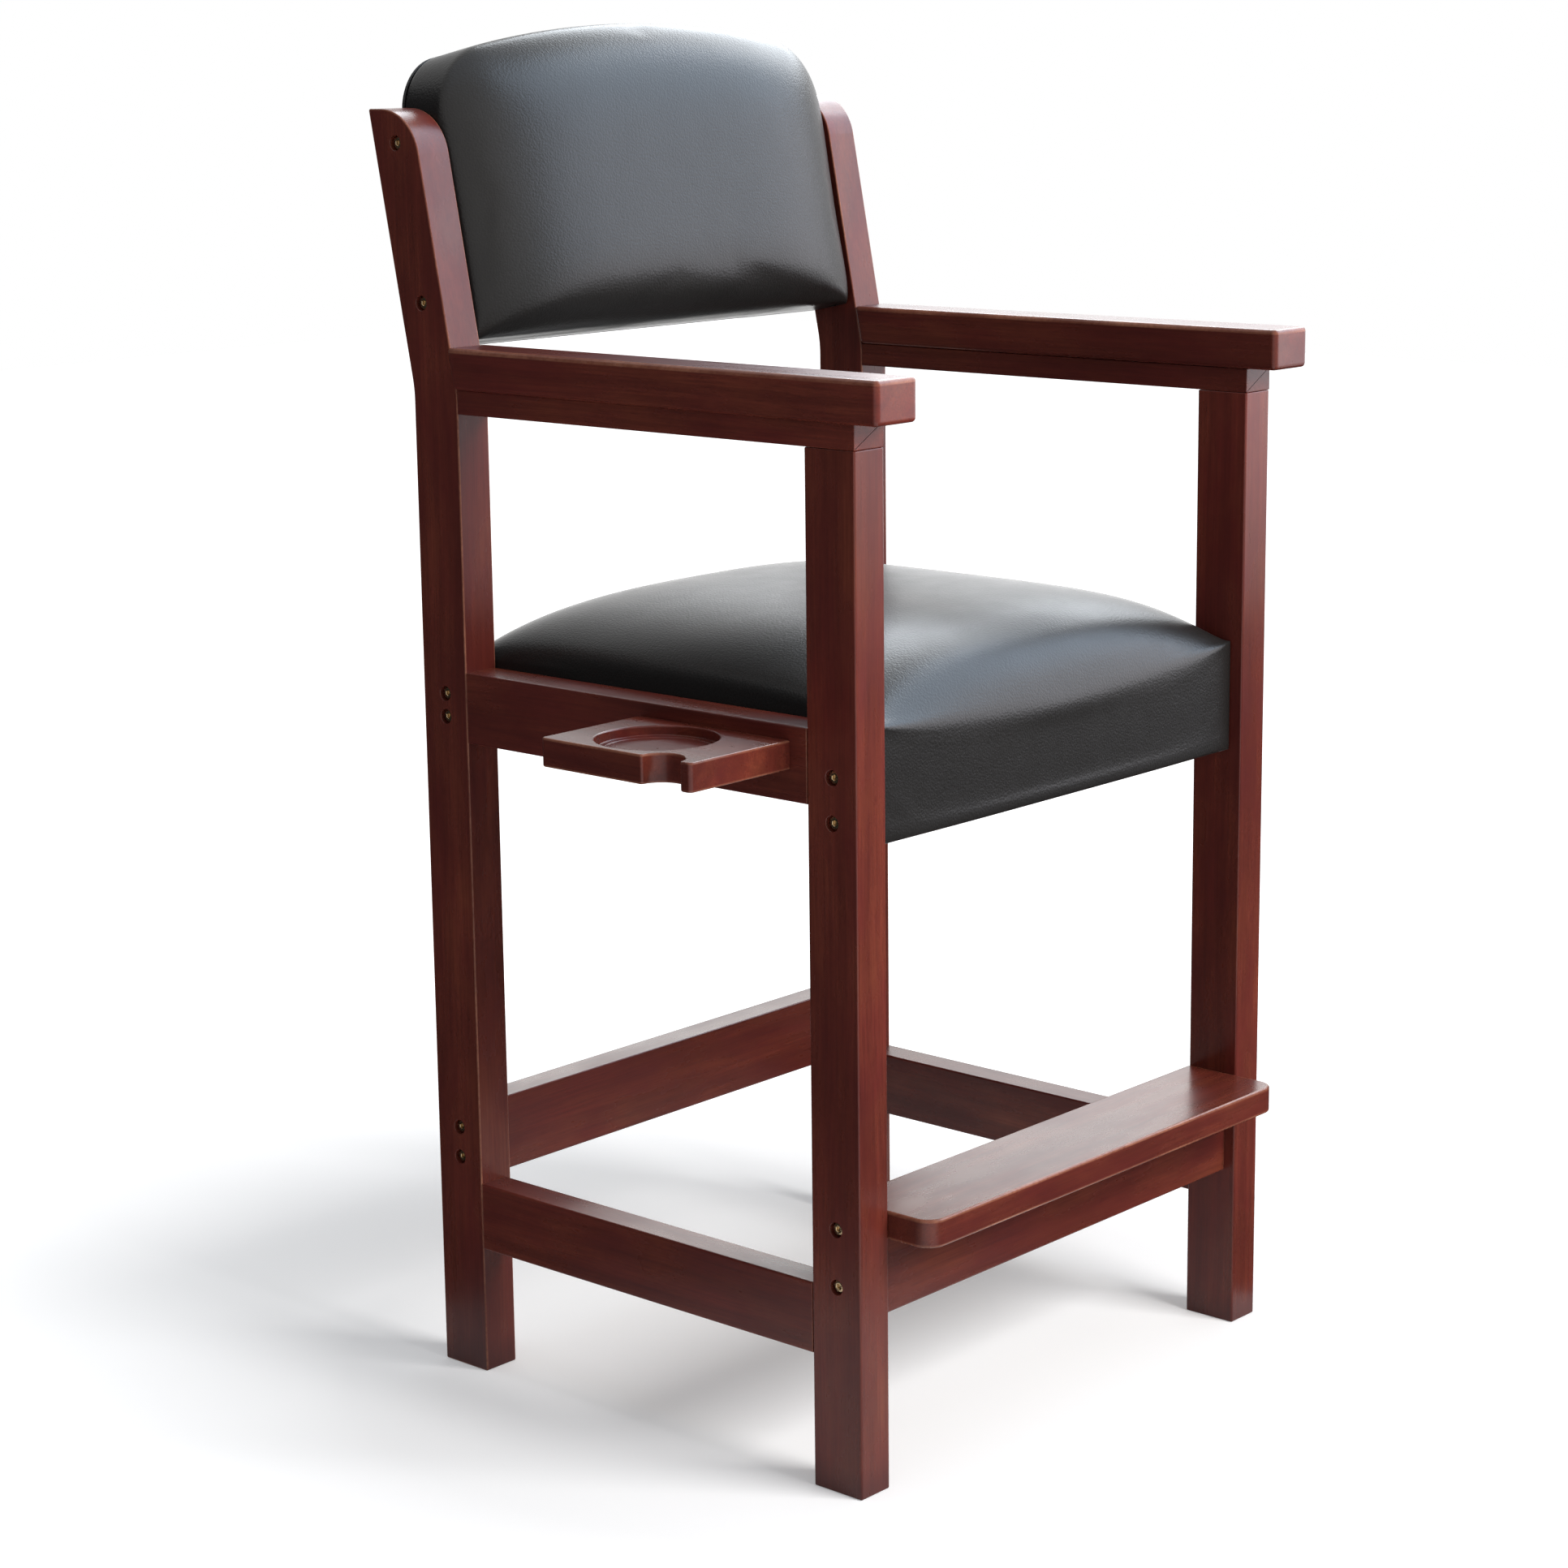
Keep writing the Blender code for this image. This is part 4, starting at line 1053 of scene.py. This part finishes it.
def back_front(half, swelling):
    """The front of the back, as a grid of (across, up, forward).

    It stands forward by the rim's height, plus the crown's less the swelling, times how full it
    is. That is the crown of across and up, to a power that falls from 0.72 to 0.5 at the rim. Two
    sines of across, 1.0 and 0.6 mm high, make a soft ripple near the bottom, which fades as a bell
    curve of up. The sides pull in by 2 mm times one less up squared.
    """
    across, up = spaced(BACK["columns"])[None], spaced(BACK["rows"])[:, None]
    lowered = np.where(up < 0, -np.abs(up) ** BACK["low_power"], up)
    inner = crown(across, lowered, *BACK["powers"])
    full = inner ** (0.72 - 0.22 * np.exp(-inner / BACK["rim_fade"]))
    x = across * (half - BACK["pull"] * (1 - up ** 2))
    height = back_top(across * half, half, BACK["shoulder"]) * (1 + up) / 2
    ripple = 0.0010 * np.sin(7.5 * across + 1.2) + 0.0006 * np.sin(13 * across)
    away = (up - BACK["ripple_up"]) / BACK["ripple_width"]
    ripple = ripple * np.exp(-(away ** 2)) * (1 - across ** 4)
    forward = BACK["rim"] + (BACK["crown"] - swelling) * full + ripple * full
    return np.stack([x, height, forward], axis=-1).reshape(-1, 3)


def back_rings(rim, half):
    """The rings behind the front's rim: its walls, and the pocket for the board.

    The walls are blended from the rim to the same outline with the rear's narrower shoulders. The
    pocket's three rings are the rim moved inward by a wall's thickness, each further forward.
    """
    rear = rim.copy()
    plain = np.clip(rim[:, 0], -half, half)
    wide = back_top(plain, half, BACK["shoulder"])
    rear[:, 1] *= back_top(plain, half, BACK["rear_shoulder"]) / wide
    rear[:, 2] = 0
    share = np.linspace(0, 1, BACK["wall_steps"] + 1)[1:, None, None]
    walls = rim[None] * (1 - share) + rear[None] * share
    flat = rim[:, :2] + BACK["wall"] * inward_loop(rim[:, :2])
    depths = [0.0, BACK["pocket"] / 2, BACK["pocket"]]
    pocket = [np.column_stack([flat, np.full(len(rim), depth)]) for depth in depths]
    return np.concatenate([walls, pocket])


def inward_loop(loop):
    """The moves inward of a closed loop, with repeated points and tight corners made safe: the
    inward move, with its length held between 1 and 1.5."""
    move = inward(loop + np.linspace(0, 1e-9, len(loop))[:, None])
    length = np.linalg.norm(move, axis=1, keepdims=True)
    return move / np.maximum(length, 1e-9) * np.clip(length, 1, 1.5)


def border(rows, columns):
    """The indices of a grid's outer points, once round, anticlockwise with rows going up."""
    grid = np.arange(rows * columns).reshape(rows, columns)
    return np.concatenate([grid[0, :-1], grid[:-1, -1], grid[-1, :0:-1], grid[:0:-1, 0]])


def back_faces(rows, columns, rings):
    """The faces of a front grid, of the rings that run back from its border, and of the cap."""
    row, column = np.meshgrid(np.arange(rows - 1), np.arange(columns - 1), indexing="ij")
    corner = row * columns + column
    quads = np.stack([corner, corner + 1, corner + columns + 1, corner + columns], axis=-1)
    faces = quads.reshape(-1, 4).tolist()
    ring = border(rows, columns)
    for number in range(rings):
        after = rows * columns + number * len(ring) + np.arange(len(ring))
        quads = np.stack([ring, after, np.roll(after, -1), np.roll(ring, -1)], axis=-1)
        faces += quads.tolist()
        ring = after
    return faces + [ring.tolist()]


class CHAIR_OT_back_cushion(bpy.types.Operator):
    """Makes the padded back with its arched top, hollow behind for the board"""

    bl_idname = "chair.back_cushion"
    bl_label = "Back Cushion"

    def execute(self, context):
        sizes = context.scene.chair_sizes
        low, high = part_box("back_cushion")
        half = (high.x - low.x) / 2
        rows, columns = BACK["rows"], BACK["columns"]
        front = back_front(half, sizes.back_swell * BACK["swell_share"])
        rings = back_rings(front[border(rows, columns)], half)
        points = np.vstack([front, rings.reshape(-1, 3)])
        points[:, 1] += BACK["bottom"]
        points[:, 2] += BACK["board_rear"]
        faces = back_faces(rows, columns, len(rings))
        held = np.ones(len(points))
        held[: len(front) + rings.shape[1] * BACK["free_steps"]] = 0.0
        place = on_slope(points, sizes)
        make_pad("back_cushion", place, faces, held, sizes.back_swell, half)
        return {"FINISHED"}


class CHAIR_OT_back_cover(bpy.types.Operator):
    """Makes the flat vinyl cover on the rear of the back"""

    bl_idname = "chair.back_cover"
    bl_label = "Back Cover"

    def execute(self, context):
        sizes = context.scene.chair_sizes
        low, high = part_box("back_cover")
        half = (high.x - low.x) / 2
        across = half * np.cos(np.linspace(0, math.pi, 97))
        top = np.column_stack([across, back_top(across, half, BACK["rear_shoulder"])])
        outline = np.vstack([[(-half, 0.0), (half, 0.0)], top])
        points, _ = plate(outline, 0.0, BACK["cover_thick"], BACK["cover_edge"], 3)
        points[..., 1] += BACK["bottom"]
        points[..., 2] += BACK["cover_rear"]
        faces = ring_faces(*points.shape[:2])
        place = on_slope(points, sizes)
        cover = make_piece("back_cover_dressed", place, faces, vinyl_material())
        stand_for(cover, "back_cover")
        return {"FINISHED"}


class CHAIR_OT_inner_parts(bpy.types.Operator):
    """Gives the deck, the back board and the threaded inserts their finishes"""

    bl_idname = "chair.inner_parts"
    bl_label = "Inner Parts"

    def execute(self, context):
        ply, zinc = plywood_material(), insert_material()
        for name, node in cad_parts.items():
            if "_insert_" in name:
                finish_node(node, zinc)
            elif name in ("seat_deck", "back_board"):
                finish_node(node, ply)
        return {"FINISHED"}


def finish_node(node, material):
    """Gives a node of the frame one material."""
    node.data.materials.clear()
    node.data.materials.append(material)


def join(tree, node, inputs):
    """Links a node's sockets to other sockets, or sets their values."""
    for key, value in inputs.items():
        if isinstance(value, bpy.types.NodeSocket):
            tree.links.new(value, node.inputs[key])
        else:
            node.inputs[key].default_value = value


def add(tree, kind, inputs=None, **settings):
    """A new node, with its settings, and with its sockets linked or set."""
    made = tree.nodes.new(kind)
    for key, value in settings.items():
        setattr(made, key, value)
    join(tree, made, inputs or {})
    return made


def mix(tree, factor, first, second):
    """A colour between first and second."""
    inputs = {0: factor, 6: first, 7: second}
    return add(tree, "ShaderNodeMix", inputs, data_type="RGBA", blend_type="MIX").outputs[2]


def math_node(tree, operation, *values):
    """A number worked out from others."""
    return add(tree, "ShaderNodeMath", dict(enumerate(values)), operation=operation).outputs[0]


def vector_node(tree, operation, *values):
    """A vector worked out from others."""
    made = add(tree, "ShaderNodeVectorMath", dict(enumerate(values)), operation=operation)
    return made.outputs[0]


def spread(tree, value, low, high, to_low=0.0, to_high=1.0):
    """Spreads a value from low and high to two new ends, and holds it between them."""
    inputs = {"Value": value, "From Min": low, "From Max": high}
    inputs |= {"To Min": to_low, "To Max": to_high}
    return add(tree, "ShaderNodeMapRange", inputs, clamp=True).outputs["Result"]


def noise(tree, place, scale, detail, roughness=0.5):
    """A noise of the place. The scale is one number, or three for a noise that is stretched."""
    if not isinstance(scale, (int, float)):
        place, scale = vector_node(tree, "MULTIPLY", place, scale), 1
    inputs = {"Vector": place, "Scale": scale, "Detail": detail, "Roughness": roughness}
    return add(tree, "ShaderNodeTexNoise", inputs).outputs["Fac"]


def bump(tree, height, strength, distance):
    """A normal that follows a height."""
    inputs = {"Height": height, "Strength": strength, "Distance": distance}
    return add(tree, "ShaderNodeBump", inputs).outputs[0]


def new_group(name, inputs, outputs):
    """A shader group with named sockets. Returns the tree, its given sockets and its output."""
    tree = bpy.data.node_groups.new(name, "ShaderNodeTree")
    for socket, kind in inputs:
        tree.interface.new_socket(socket, in_out="INPUT", socket_type=f"NodeSocket{kind}")
    for socket in outputs:
        tree.interface.new_socket(socket, in_out="OUTPUT", socket_type="NodeSocketFloat")
    return tree, tree.nodes.new("NodeGroupInput").outputs, tree.nodes.new("NodeGroupOutput")


def use_group(tree, name, inputs):
    """Places a shader group, which is built the first time, and returns what it puts out."""
    group = bpy.data.node_groups.get(name) or GROUPS[name](name)
    return add(tree, "ShaderNodeGroup", inputs, node_tree=group).outputs


def grain_group(name):
    """Wood grain that runs along Z: fine fibres, short pores, growth bands and stain blotches."""
    sockets = ("Fibre", "Pores", "Bands", "Blotch", "Shade", "Height")
    tree, given, out = new_group(name, [("Place", "Vector")], sockets)
    place = given["Place"]
    wander = noise(tree, place, (5, 5, 1.6), 2)
    bent = vector_node(tree, "MULTIPLY_ADD", wander, (0.02, 0.02, 0.0), place)
    fibre = noise(tree, bent, (520, 520, 11), 4, 0.65)
    pores = spread(tree, noise(tree, bent, (1500, 1500, 70), 2), 0.58, 0.7)
    bands = noise(tree, bent, (75, 75, 1.2), 2)
    blotch = noise(tree, place, (26, 26, 9), 4, 0.6)
    shade_tone = noise(tree, place, (9, 9, 4), 3, 0.55)
    height = math_node(tree, "MULTIPLY_ADD", pores, -0.6, fibre)
    join(tree, out, dict(zip(sockets, (fibre, pores, bands, blotch, shade_tone, height))))
    return tree


def edge_wear_highlight_group(name):
    """Where a rounded edge is worn pale and carries a painted highlight: the rim's mask, broken up
    by two noises.
    """
    tree, given, out = new_group(name, [("Rim", "Float"), ("Place", "Vector")], ["WearAndHighlight"])
    patch = spread(tree, noise(tree, given["Place"], 14, 3), 0.36, 0.68, 0.25, 0.85)
    fine = spread(tree, noise(tree, given["Place"], 260, 2), 0.3, 0.6, 0.6, 1.0)
    broken = math_node(tree, "MULTIPLY", patch, fine)
    join(tree, out, {"WearAndHighlight": math_node(tree, "MULTIPLY", broken, given["Rim"])})
    return tree


def pebble_group(name):
    """The pressed grain of vinyl: rounded cells, a finer noise on them and slow changes of tone."""
    sockets = ("Height", "Tone", "Sheen")
    tree, given, out = new_group(name, [("Place", "Vector"), ("Cells", "Float")], sockets)
    place = given["Place"]
    inputs = {"Vector": place, "Scale": 180, "Detail": 1}
    wander = add(tree, "ShaderNodeTexNoise", inputs).outputs["Color"]
    bent = vector_node(tree, "MULTIPLY_ADD", wander, (0.0012, 0.0012, 0.0012), place)
    inputs = {"Vector": bent, "Scale": given["Cells"], "Smoothness": 0.6}
    cells = add(tree, "ShaderNodeTexVoronoi", inputs, feature="SMOOTH_F1").outputs["Distance"]
    domes = math_node(tree, "SUBTRACT", 1.0, cells)
    height = math_node(tree, "MULTIPLY_ADD", noise(tree, place, 2600, 2), 0.05, domes)
    tone, sheen = noise(tree, place, 9, 3), noise(tree, place, 34, 2)
    join(tree, out, {"Height": height, "Tone": tone, "Sheen": sheen})
    return tree


GROUPS = {"board_grain": grain_group, "edge_wear_and_highlight": edge_wear_highlight_group, "pebble_grain": pebble_group}
GRAIN_TURNS = {
    "upright": (0, 0, 0),
    "lengthwise": (math.pi / 2, 0, 0),
    "crosswise": (0, math.pi / 2, 0),
}


def laid_grain(tree, place, way):
    """The wood grain, turned to run upright, lengthwise or crosswise."""
    laid = add(tree, "ShaderNodeMapping", {"Vector": place, "Rotation": GRAIN_TURNS[way]})
    return use_group(tree, "board_grain", {"Place": laid.outputs[0]})


def new_material(name):
    """An empty material with one shader, and the tree, the shader and Object coordinates."""
    material = bpy.data.materials.new(name)
    material.use_nodes = True
    tree = material.node_tree
    place = add(tree, "ShaderNodeTexCoord").outputs["Object"]
    return material, tree, tree.nodes["Principled BSDF"], place


def board_material(way):
    """Stained and lacquered mahogany whose grain runs upright, lengthwise or crosswise."""
    name = f"mahogany_{way}"
    if name in bpy.data.materials:
        return bpy.data.materials[name]
    finish = bpy.context.scene.chair_finish
    deep, light, dark = (*finish.stain, 1), (*finish.stain_light, 1), (*finish.stain_dark, 1)
    material, tree, shader, place = new_material(name)
    grain = laid_grain(tree, place, way)
    rim = add(tree, "ShaderNodeAttribute", attribute_name="rim").outputs["Fac"]
    wear_and_highlight = use_group(tree, "edge_wear_and_highlight", {"Rim": rim, "Place": place})["WearAndHighlight"]
    up = add(tree, "ShaderNodeSeparateXYZ", {0: place}).outputs["Z"]
    ragged = math_node(tree, "MULTIPLY_ADD", grain["Blotch"], 0.05, up)
    colour = mix(tree, spread(tree, grain["Blotch"], 0.36, 0.7, 0.0, 0.65), deep, light)
    for factor in (
        spread(tree, grain["Bands"], 0.35, 0.65, 0.0, 0.35),
        spread(tree, grain["Fibre"], 0.35, 0.65, 0.0, 0.42),
        math_node(tree, "MULTIPLY", grain["Pores"], 0.35),
        spread(tree, grain["Shade"], 0.38, 0.66, 0.0, 0.5),
        spread(tree, ragged, 0.055, 0.03, 0.0, 0.6),  # darker over the lowest few centimetres, towards the floor
    ):
        colour = mix(tree, factor, colour, dark)
    # the rims go pale: partly worn stain, partly a painted highlight along the edges
    colour = mix(tree, math_node(tree, "MULTIPLY", wear_and_highlight, 0.7), colour, (*finish.worn_edge_and_highlight, 1))
    dull = finish.lacquer_roughness
    inputs = {
        "Base Color": colour,
        "Roughness": spread(tree, grain["Blotch"], 0.3, 0.7, dull + 0.05, dull - 0.05),
        "Specular IOR Level": 0.27,
        "Normal": bump(tree, grain["Height"], 0.02, 0.0003),
    }
    join(tree, shader, inputs)
    return material


def vinyl_material():
    """Black upholstery vinyl with a fine pressed grain."""
    if "grained_vinyl" in bpy.data.materials:
        return bpy.data.materials["grained_vinyl"]
    finish = bpy.context.scene.chair_finish
    material, tree, shader, place = new_material("grained_vinyl")
    grain = use_group(tree, "pebble_grain", {"Place": place, "Cells": 500.0})
    deep = tuple(channel * 0.8 for channel in finish.vinyl)
    pale = tuple(channel * 1.25 for channel in finish.vinyl)
    dull = finish.vinyl_roughness
    inputs = {
        "Base Color": mix(tree, grain["Tone"], (*deep, 1), (*pale, 1)),
        "Roughness": spread(tree, grain["Sheen"], 0.3, 0.7, dull - 0.015, dull + 0.015),
        "Specular IOR Level": 0.25,
        "Normal": bump(tree, grain["Height"], 0.4, 0.0004),
    }
    join(tree, shader, inputs)
    return material


def bolt_material():
    """Bright plated steel, a little scuffed."""
    finish = bpy.context.scene.chair_finish
    material, tree, shader, place = new_material("bolt_steel")
    scuff = noise(tree, place, 900, 3)
    stain = spread(tree, noise(tree, place, 240, 2), 0.45, 0.7)
    inputs = {
        "Base Color": mix(tree, stain, (*finish.bolt, 1), (0.42, 0.33, 0.22, 1)),
        "Metallic": 1.0,
        "Roughness": spread(tree, scuff, 0.3, 0.7, 0.16, 0.34),
        "Normal": bump(tree, scuff, 0.2, 0.0002),
    }
    join(tree, shader, inputs)
    return material


def insert_material():
    """Dull zinc on the threaded inserts."""
    material, tree, shader, place = new_material("insert_zinc")
    scuff = noise(tree, place, 700, 3)
    inputs = {
        "Base Color": mix(tree, scuff, (0.46, 0.46, 0.45, 1), (0.62, 0.60, 0.56, 1)),
        "Metallic": 1.0,
        "Roughness": spread(tree, scuff, 0.3, 0.7, 0.35, 0.55),
    }
    join(tree, shader, inputs)
    return material


def plywood_material():
    """Raw plywood: a pale face veneer with darker fibres along X."""
    material, tree, shader, place = new_material("raw_plywood")
    grain = laid_grain(tree, place, "crosswise")
    veneer = mix(tree, grain["Blotch"], (0.46, 0.30, 0.16, 1), (0.58, 0.41, 0.24, 1))
    fibre = spread(tree, grain["Fibre"], 0.4, 0.7, 0.0, 0.45)
    inputs = {
        "Base Color": mix(tree, fibre, veneer, (0.25, 0.14, 0.07, 1)),
        "Roughness": spread(tree, grain["Fibre"], 0.3, 0.7, 0.62, 0.78),
        "Normal": bump(tree, grain["Height"], 0.3, 0.0004),
    }
    join(tree, shader, inputs)
    return material


def shown_directly(tree):
    """1 for what the camera sees, straight or in a reflection or through glass, and 0 for light."""
    path = add(tree, "ShaderNodeLightPath").outputs
    seen = math_node(tree, "MAXIMUM", path["Is Camera Ray"], path["Is Glossy Ray"])
    return math_node(tree, "MAXIMUM", seen, path["Is Transmission Ray"])


def floor_material(colour):
    """A pale matt floor, lifted towards white where it is seen, which keeps its shadows. The lift
    grows with the distance from the origin."""
    material, tree, shader, place = new_material("studio_floor")
    dim = tuple(channel * 0.985 for channel in colour)
    flat = vector_node(tree, "MULTIPLY", place, (1, 1, 0))
    away = add(tree, "ShaderNodeVectorMath", {0: flat}, operation="LENGTH").outputs["Value"]
    lift = spread(tree, away, 0.45, 1.3, 0.21, 1.0)
    inputs = {
        "Base Color": mix(tree, noise(tree, place, 1.5, 2), (*colour, 1), (*dim, 1)),
        "Roughness": 0.9,
        "Specular IOR Level": 0.1,
        "Emission Color": (1, 1, 1, 1),
        "Emission Strength": math_node(tree, "MULTIPLY", shown_directly(tree), lift),
    }
    join(tree, shader, inputs)
    return material


def card_material():
    """Dull black card, a little uneven."""
    if "dark_card" in bpy.data.materials:
        return bpy.data.materials["dark_card"]
    material, tree, shader, place = new_material("dark_card")
    black, grey = (0.004, 0.004, 0.004, 1), (0.006, 0.006, 0.006, 1)
    colour = mix(tree, noise(tree, place, 3, 2), black, grey)
    join(tree, shader, {"Base Color": colour, "Roughness": 0.9})
    return material


def light_world():
    """White where it is seen, and an even, slightly cool light on the object."""
    world = bpy.data.worlds.new("studio")
    bpy.context.scene.world = world
    world.use_nodes = True
    tree = world.node_tree
    backdrop = tree.nodes["Background"]
    join(tree, backdrop, {"Color": (1, 1, 1, 1), "Strength": 1.0})
    soft = add(tree, "ShaderNodeBackground", {"Color": (0.98, 0.99, 1.0, 1), "Strength": 0.36})
    inputs = {0: shown_directly(tree), 1: soft.outputs[0], 2: backdrop.outputs[0]}
    both = add(tree, "ShaderNodeMixShader", inputs)
    join(tree, tree.nodes["World Output"], {"Surface": both.outputs[0]})


WHITE, COOL = (1.0, 0.99, 0.97), (0.93, 0.92, 1.0)
PALE, SKY = (0.88, 0.94, 1.0), (0.62, 0.79, 1.0)
FLOOR_REACH, FLOOR_DROP = 9.0, 0.0002
LAMPS = (
    # name, place, aim, width, height, glow, colour, lights things, shows in what they reflect
    ("key", (0.5, -2.9, 2.3), (0, 0, 0.5), 1.9, 1.3, 14.5, WHITE, True, False),
    ("overhead", (-0.1, -0.3, 3.3), (0, 0, 0.8), 2.4, 2.4, 0.5, SKY, True, True),
    ("front", (2.75, -1.93, 1.3), (0, 0, 1.0), 3.2, 1.5, 2.8, COOL, False, True),
    ("side_sky", (2.2, -1.5, 2.9), (0, 0, 0.9), 2.8, 2.4, 4.8, SKY, False, True),
    ("behind", (1.75, 1.55, 1.05), (0, 0, 0.8), 2.6, 1.1, 0.6, WHITE, False, True),
    ("behind_low", (1.05, 0.65, 0.62), (0, -0.3, 0.25), 1.6, 0.3, 1.3, WHITE, False, True),
    ("behind_high", (2.35, 0.85, 2.6), (0, 0, 0.8), 2.5, 1.5, 6.8, PALE, False, True),
)
DARK_CARDS = (
    # name, the way it stands from the chair, how far its foot and its head are, width, height
    ("left_card", (-0.745, 0.667), 0.5, 1.05, 2.2, 1.75),
    ("right_card", (0.745, -0.667), 0.5, 1.13, 2.6, 0.60),
    ("rear_card", (0.79, 0.61), 1.0, 1.7, 2.2, 0.49),
)


def add_lamp(name, place, aim, width, height, glow, colour, lights, shines):
    """A soft box. Its power is four times its area times glow, how bright it looks beside white.
    It can be left out of the light on things, or out of what they reflect."""
    light = bpy.data.lights.new(name, "AREA")
    light.shape = "RECTANGLE"
    light.size, light.size_y = width, height
    light.energy = 4 * width * height * glow
    light.color = colour
    lamp = bpy.data.objects.new(name, light)
    bpy.context.scene.collection.objects.link(lamp)
    lamp.location = place
    lamp.rotation_euler = (Vector(aim) - Vector(place)).to_track_quat("-Z", "Y").to_euler()
    lamp.visible_camera = False
    lamp.visible_diffuse = lights
    lamp.visible_glossy = shines


def add_dark_card(name, away, foot, head, width, height):
    """A dark card to one side of the chair, which only reflections see. It keeps the depth of the
    stain and the vinyl in front of the white surroundings.

    Its foot and its head stand these distances along away from the origin, and it runs half its
    width to each side."""
    away = np.array(away) / math.hypot(*away)
    along = np.array([-away[1], away[0]])
    across, rise = np.meshgrid([-width / 2, width / 2], [0.0, height])
    distance = np.array([[foot], [head]])[..., None]
    points = np.dstack([distance * away + across[..., None] * along, rise[..., None]])
    card = make_piece(name, points, [(0, 1, 3, 2)], card_material())
    card.visible_camera = card.visible_diffuse = card.visible_shadow = False


class CHAIR_OT_stage(bpy.types.Operator):
    """Sets up the floor, the lamps, the world and the camera"""

    bl_idname = "chair.stage"
    bl_label = "Stage"

    def execute(self, context):
        stage = context.scene.chair_stage
        add_camera(context.scene, stage)
        corners = rectangle((-FLOOR_REACH, -FLOOR_REACH), (FLOOR_REACH, FLOOR_REACH))
        points = [(*corner, -FLOOR_DROP) for corner in corners]
        matt = floor_material(tuple(stage.floor))
        floor = make_piece("floor", points, [(0, 1, 2, 3)], matt)
        light_world()
        for lamp in LAMPS:
            add_lamp(*lamp)
        for card in DARK_CARDS:
            add_dark_card(*card)
        context.scene.view_settings.view_transform = "Standard"
        return {"FINISHED"}


def add_camera(scene, stage):
    """A camera whose view runs along (sin a cos e, cos a cos e, -sin e), for turn a and dip e."""
    turn, dip, roll = stage.camera_turn, stage.camera_dip, stage.camera_roll
    ahead = Vector((math.sin(turn) * math.cos(dip), math.cos(turn) * math.cos(dip), -math.sin(dip)))
    level = Vector((math.cos(turn), -math.sin(turn), 0))
    above = level.cross(ahead)
    right = math.cos(roll) * level + math.sin(roll) * above
    up = -math.sin(roll) * level + math.cos(roll) * above
    lens = bpy.data.cameras.new("camera")
    lens.lens, lens.sensor_width, lens.sensor_fit = stage.camera_lens, 36.0, "HORIZONTAL"
    camera = bpy.data.objects.new("camera", lens)
    scene.collection.objects.link(camera)
    turned_to = Matrix((right, up, -ahead)).transposed()
    camera.matrix_world = Matrix.Translation(Vector(stage.camera_place)) @ turned_to.to_4x4()
    scene.camera = camera


OPERATORS = (
    CHAIR_OT_stage,
    CHAIR_OT_front_posts,
    CHAIR_OT_rear_posts,
    CHAIR_OT_side_rails,
    CHAIR_OT_armrests,
    CHAIR_OT_cross_rails,
    CHAIR_OT_footrest,
    CHAIR_OT_drink_holder,
    CHAIR_OT_bolts,
    CHAIR_OT_seat_cushion,
    CHAIR_OT_back_cushion,
    CHAIR_OT_back_cover,
    CHAIR_OT_inner_parts,
)


class CHAIR_PT_panel(bpy.types.Panel):
    """Lists the chair's sizes, finishes and pieces"""

    bl_label = "Spectator Chair"
    bl_idname = "CHAIR_PT_panel"
    bl_space_type = "VIEW_3D"
    bl_region_type = "UI"
    bl_category = "Chair"

    def draw(self, context):
        scene = context.scene
        for settings in (scene.chair_sizes, scene.chair_finish, scene.chair_stage):
            box = self.layout.box()
            for name in settings.__annotations__:
                box.prop(settings, name)
        column = self.layout.column()
        for operator in OPERATORS:
            column.operator(operator.bl_idname)


SETTINGS = (("chair_sizes", ChairSizes), ("chair_finish", ChairFinish), ("chair_stage", ChairStage))


def register():
    """Makes the settings, the operators and the panel known to Blender."""
    for name, group in SETTINGS:
        bpy.utils.register_class(group)
        setattr(bpy.types.Scene, name, PointerProperty(type=group))
    for operator in OPERATORS:
        bpy.utils.register_class(operator)
    bpy.utils.register_class(CHAIR_PT_panel)


def unregister():
    """Takes them away again."""
    bpy.utils.unregister_class(CHAIR_PT_panel)
    for operator in reversed(OPERATORS):
        bpy.utils.unregister_class(operator)
    for name, group in reversed(SETTINGS):
        delattr(bpy.types.Scene, name)
        bpy.utils.unregister_class(group)


def main():
    register()
    for operator in OPERATORS:
        group, name = operator.bl_idname.split(".")
        getattr(getattr(bpy.ops, group), name)()


if __name__ == "__main__":
    main()
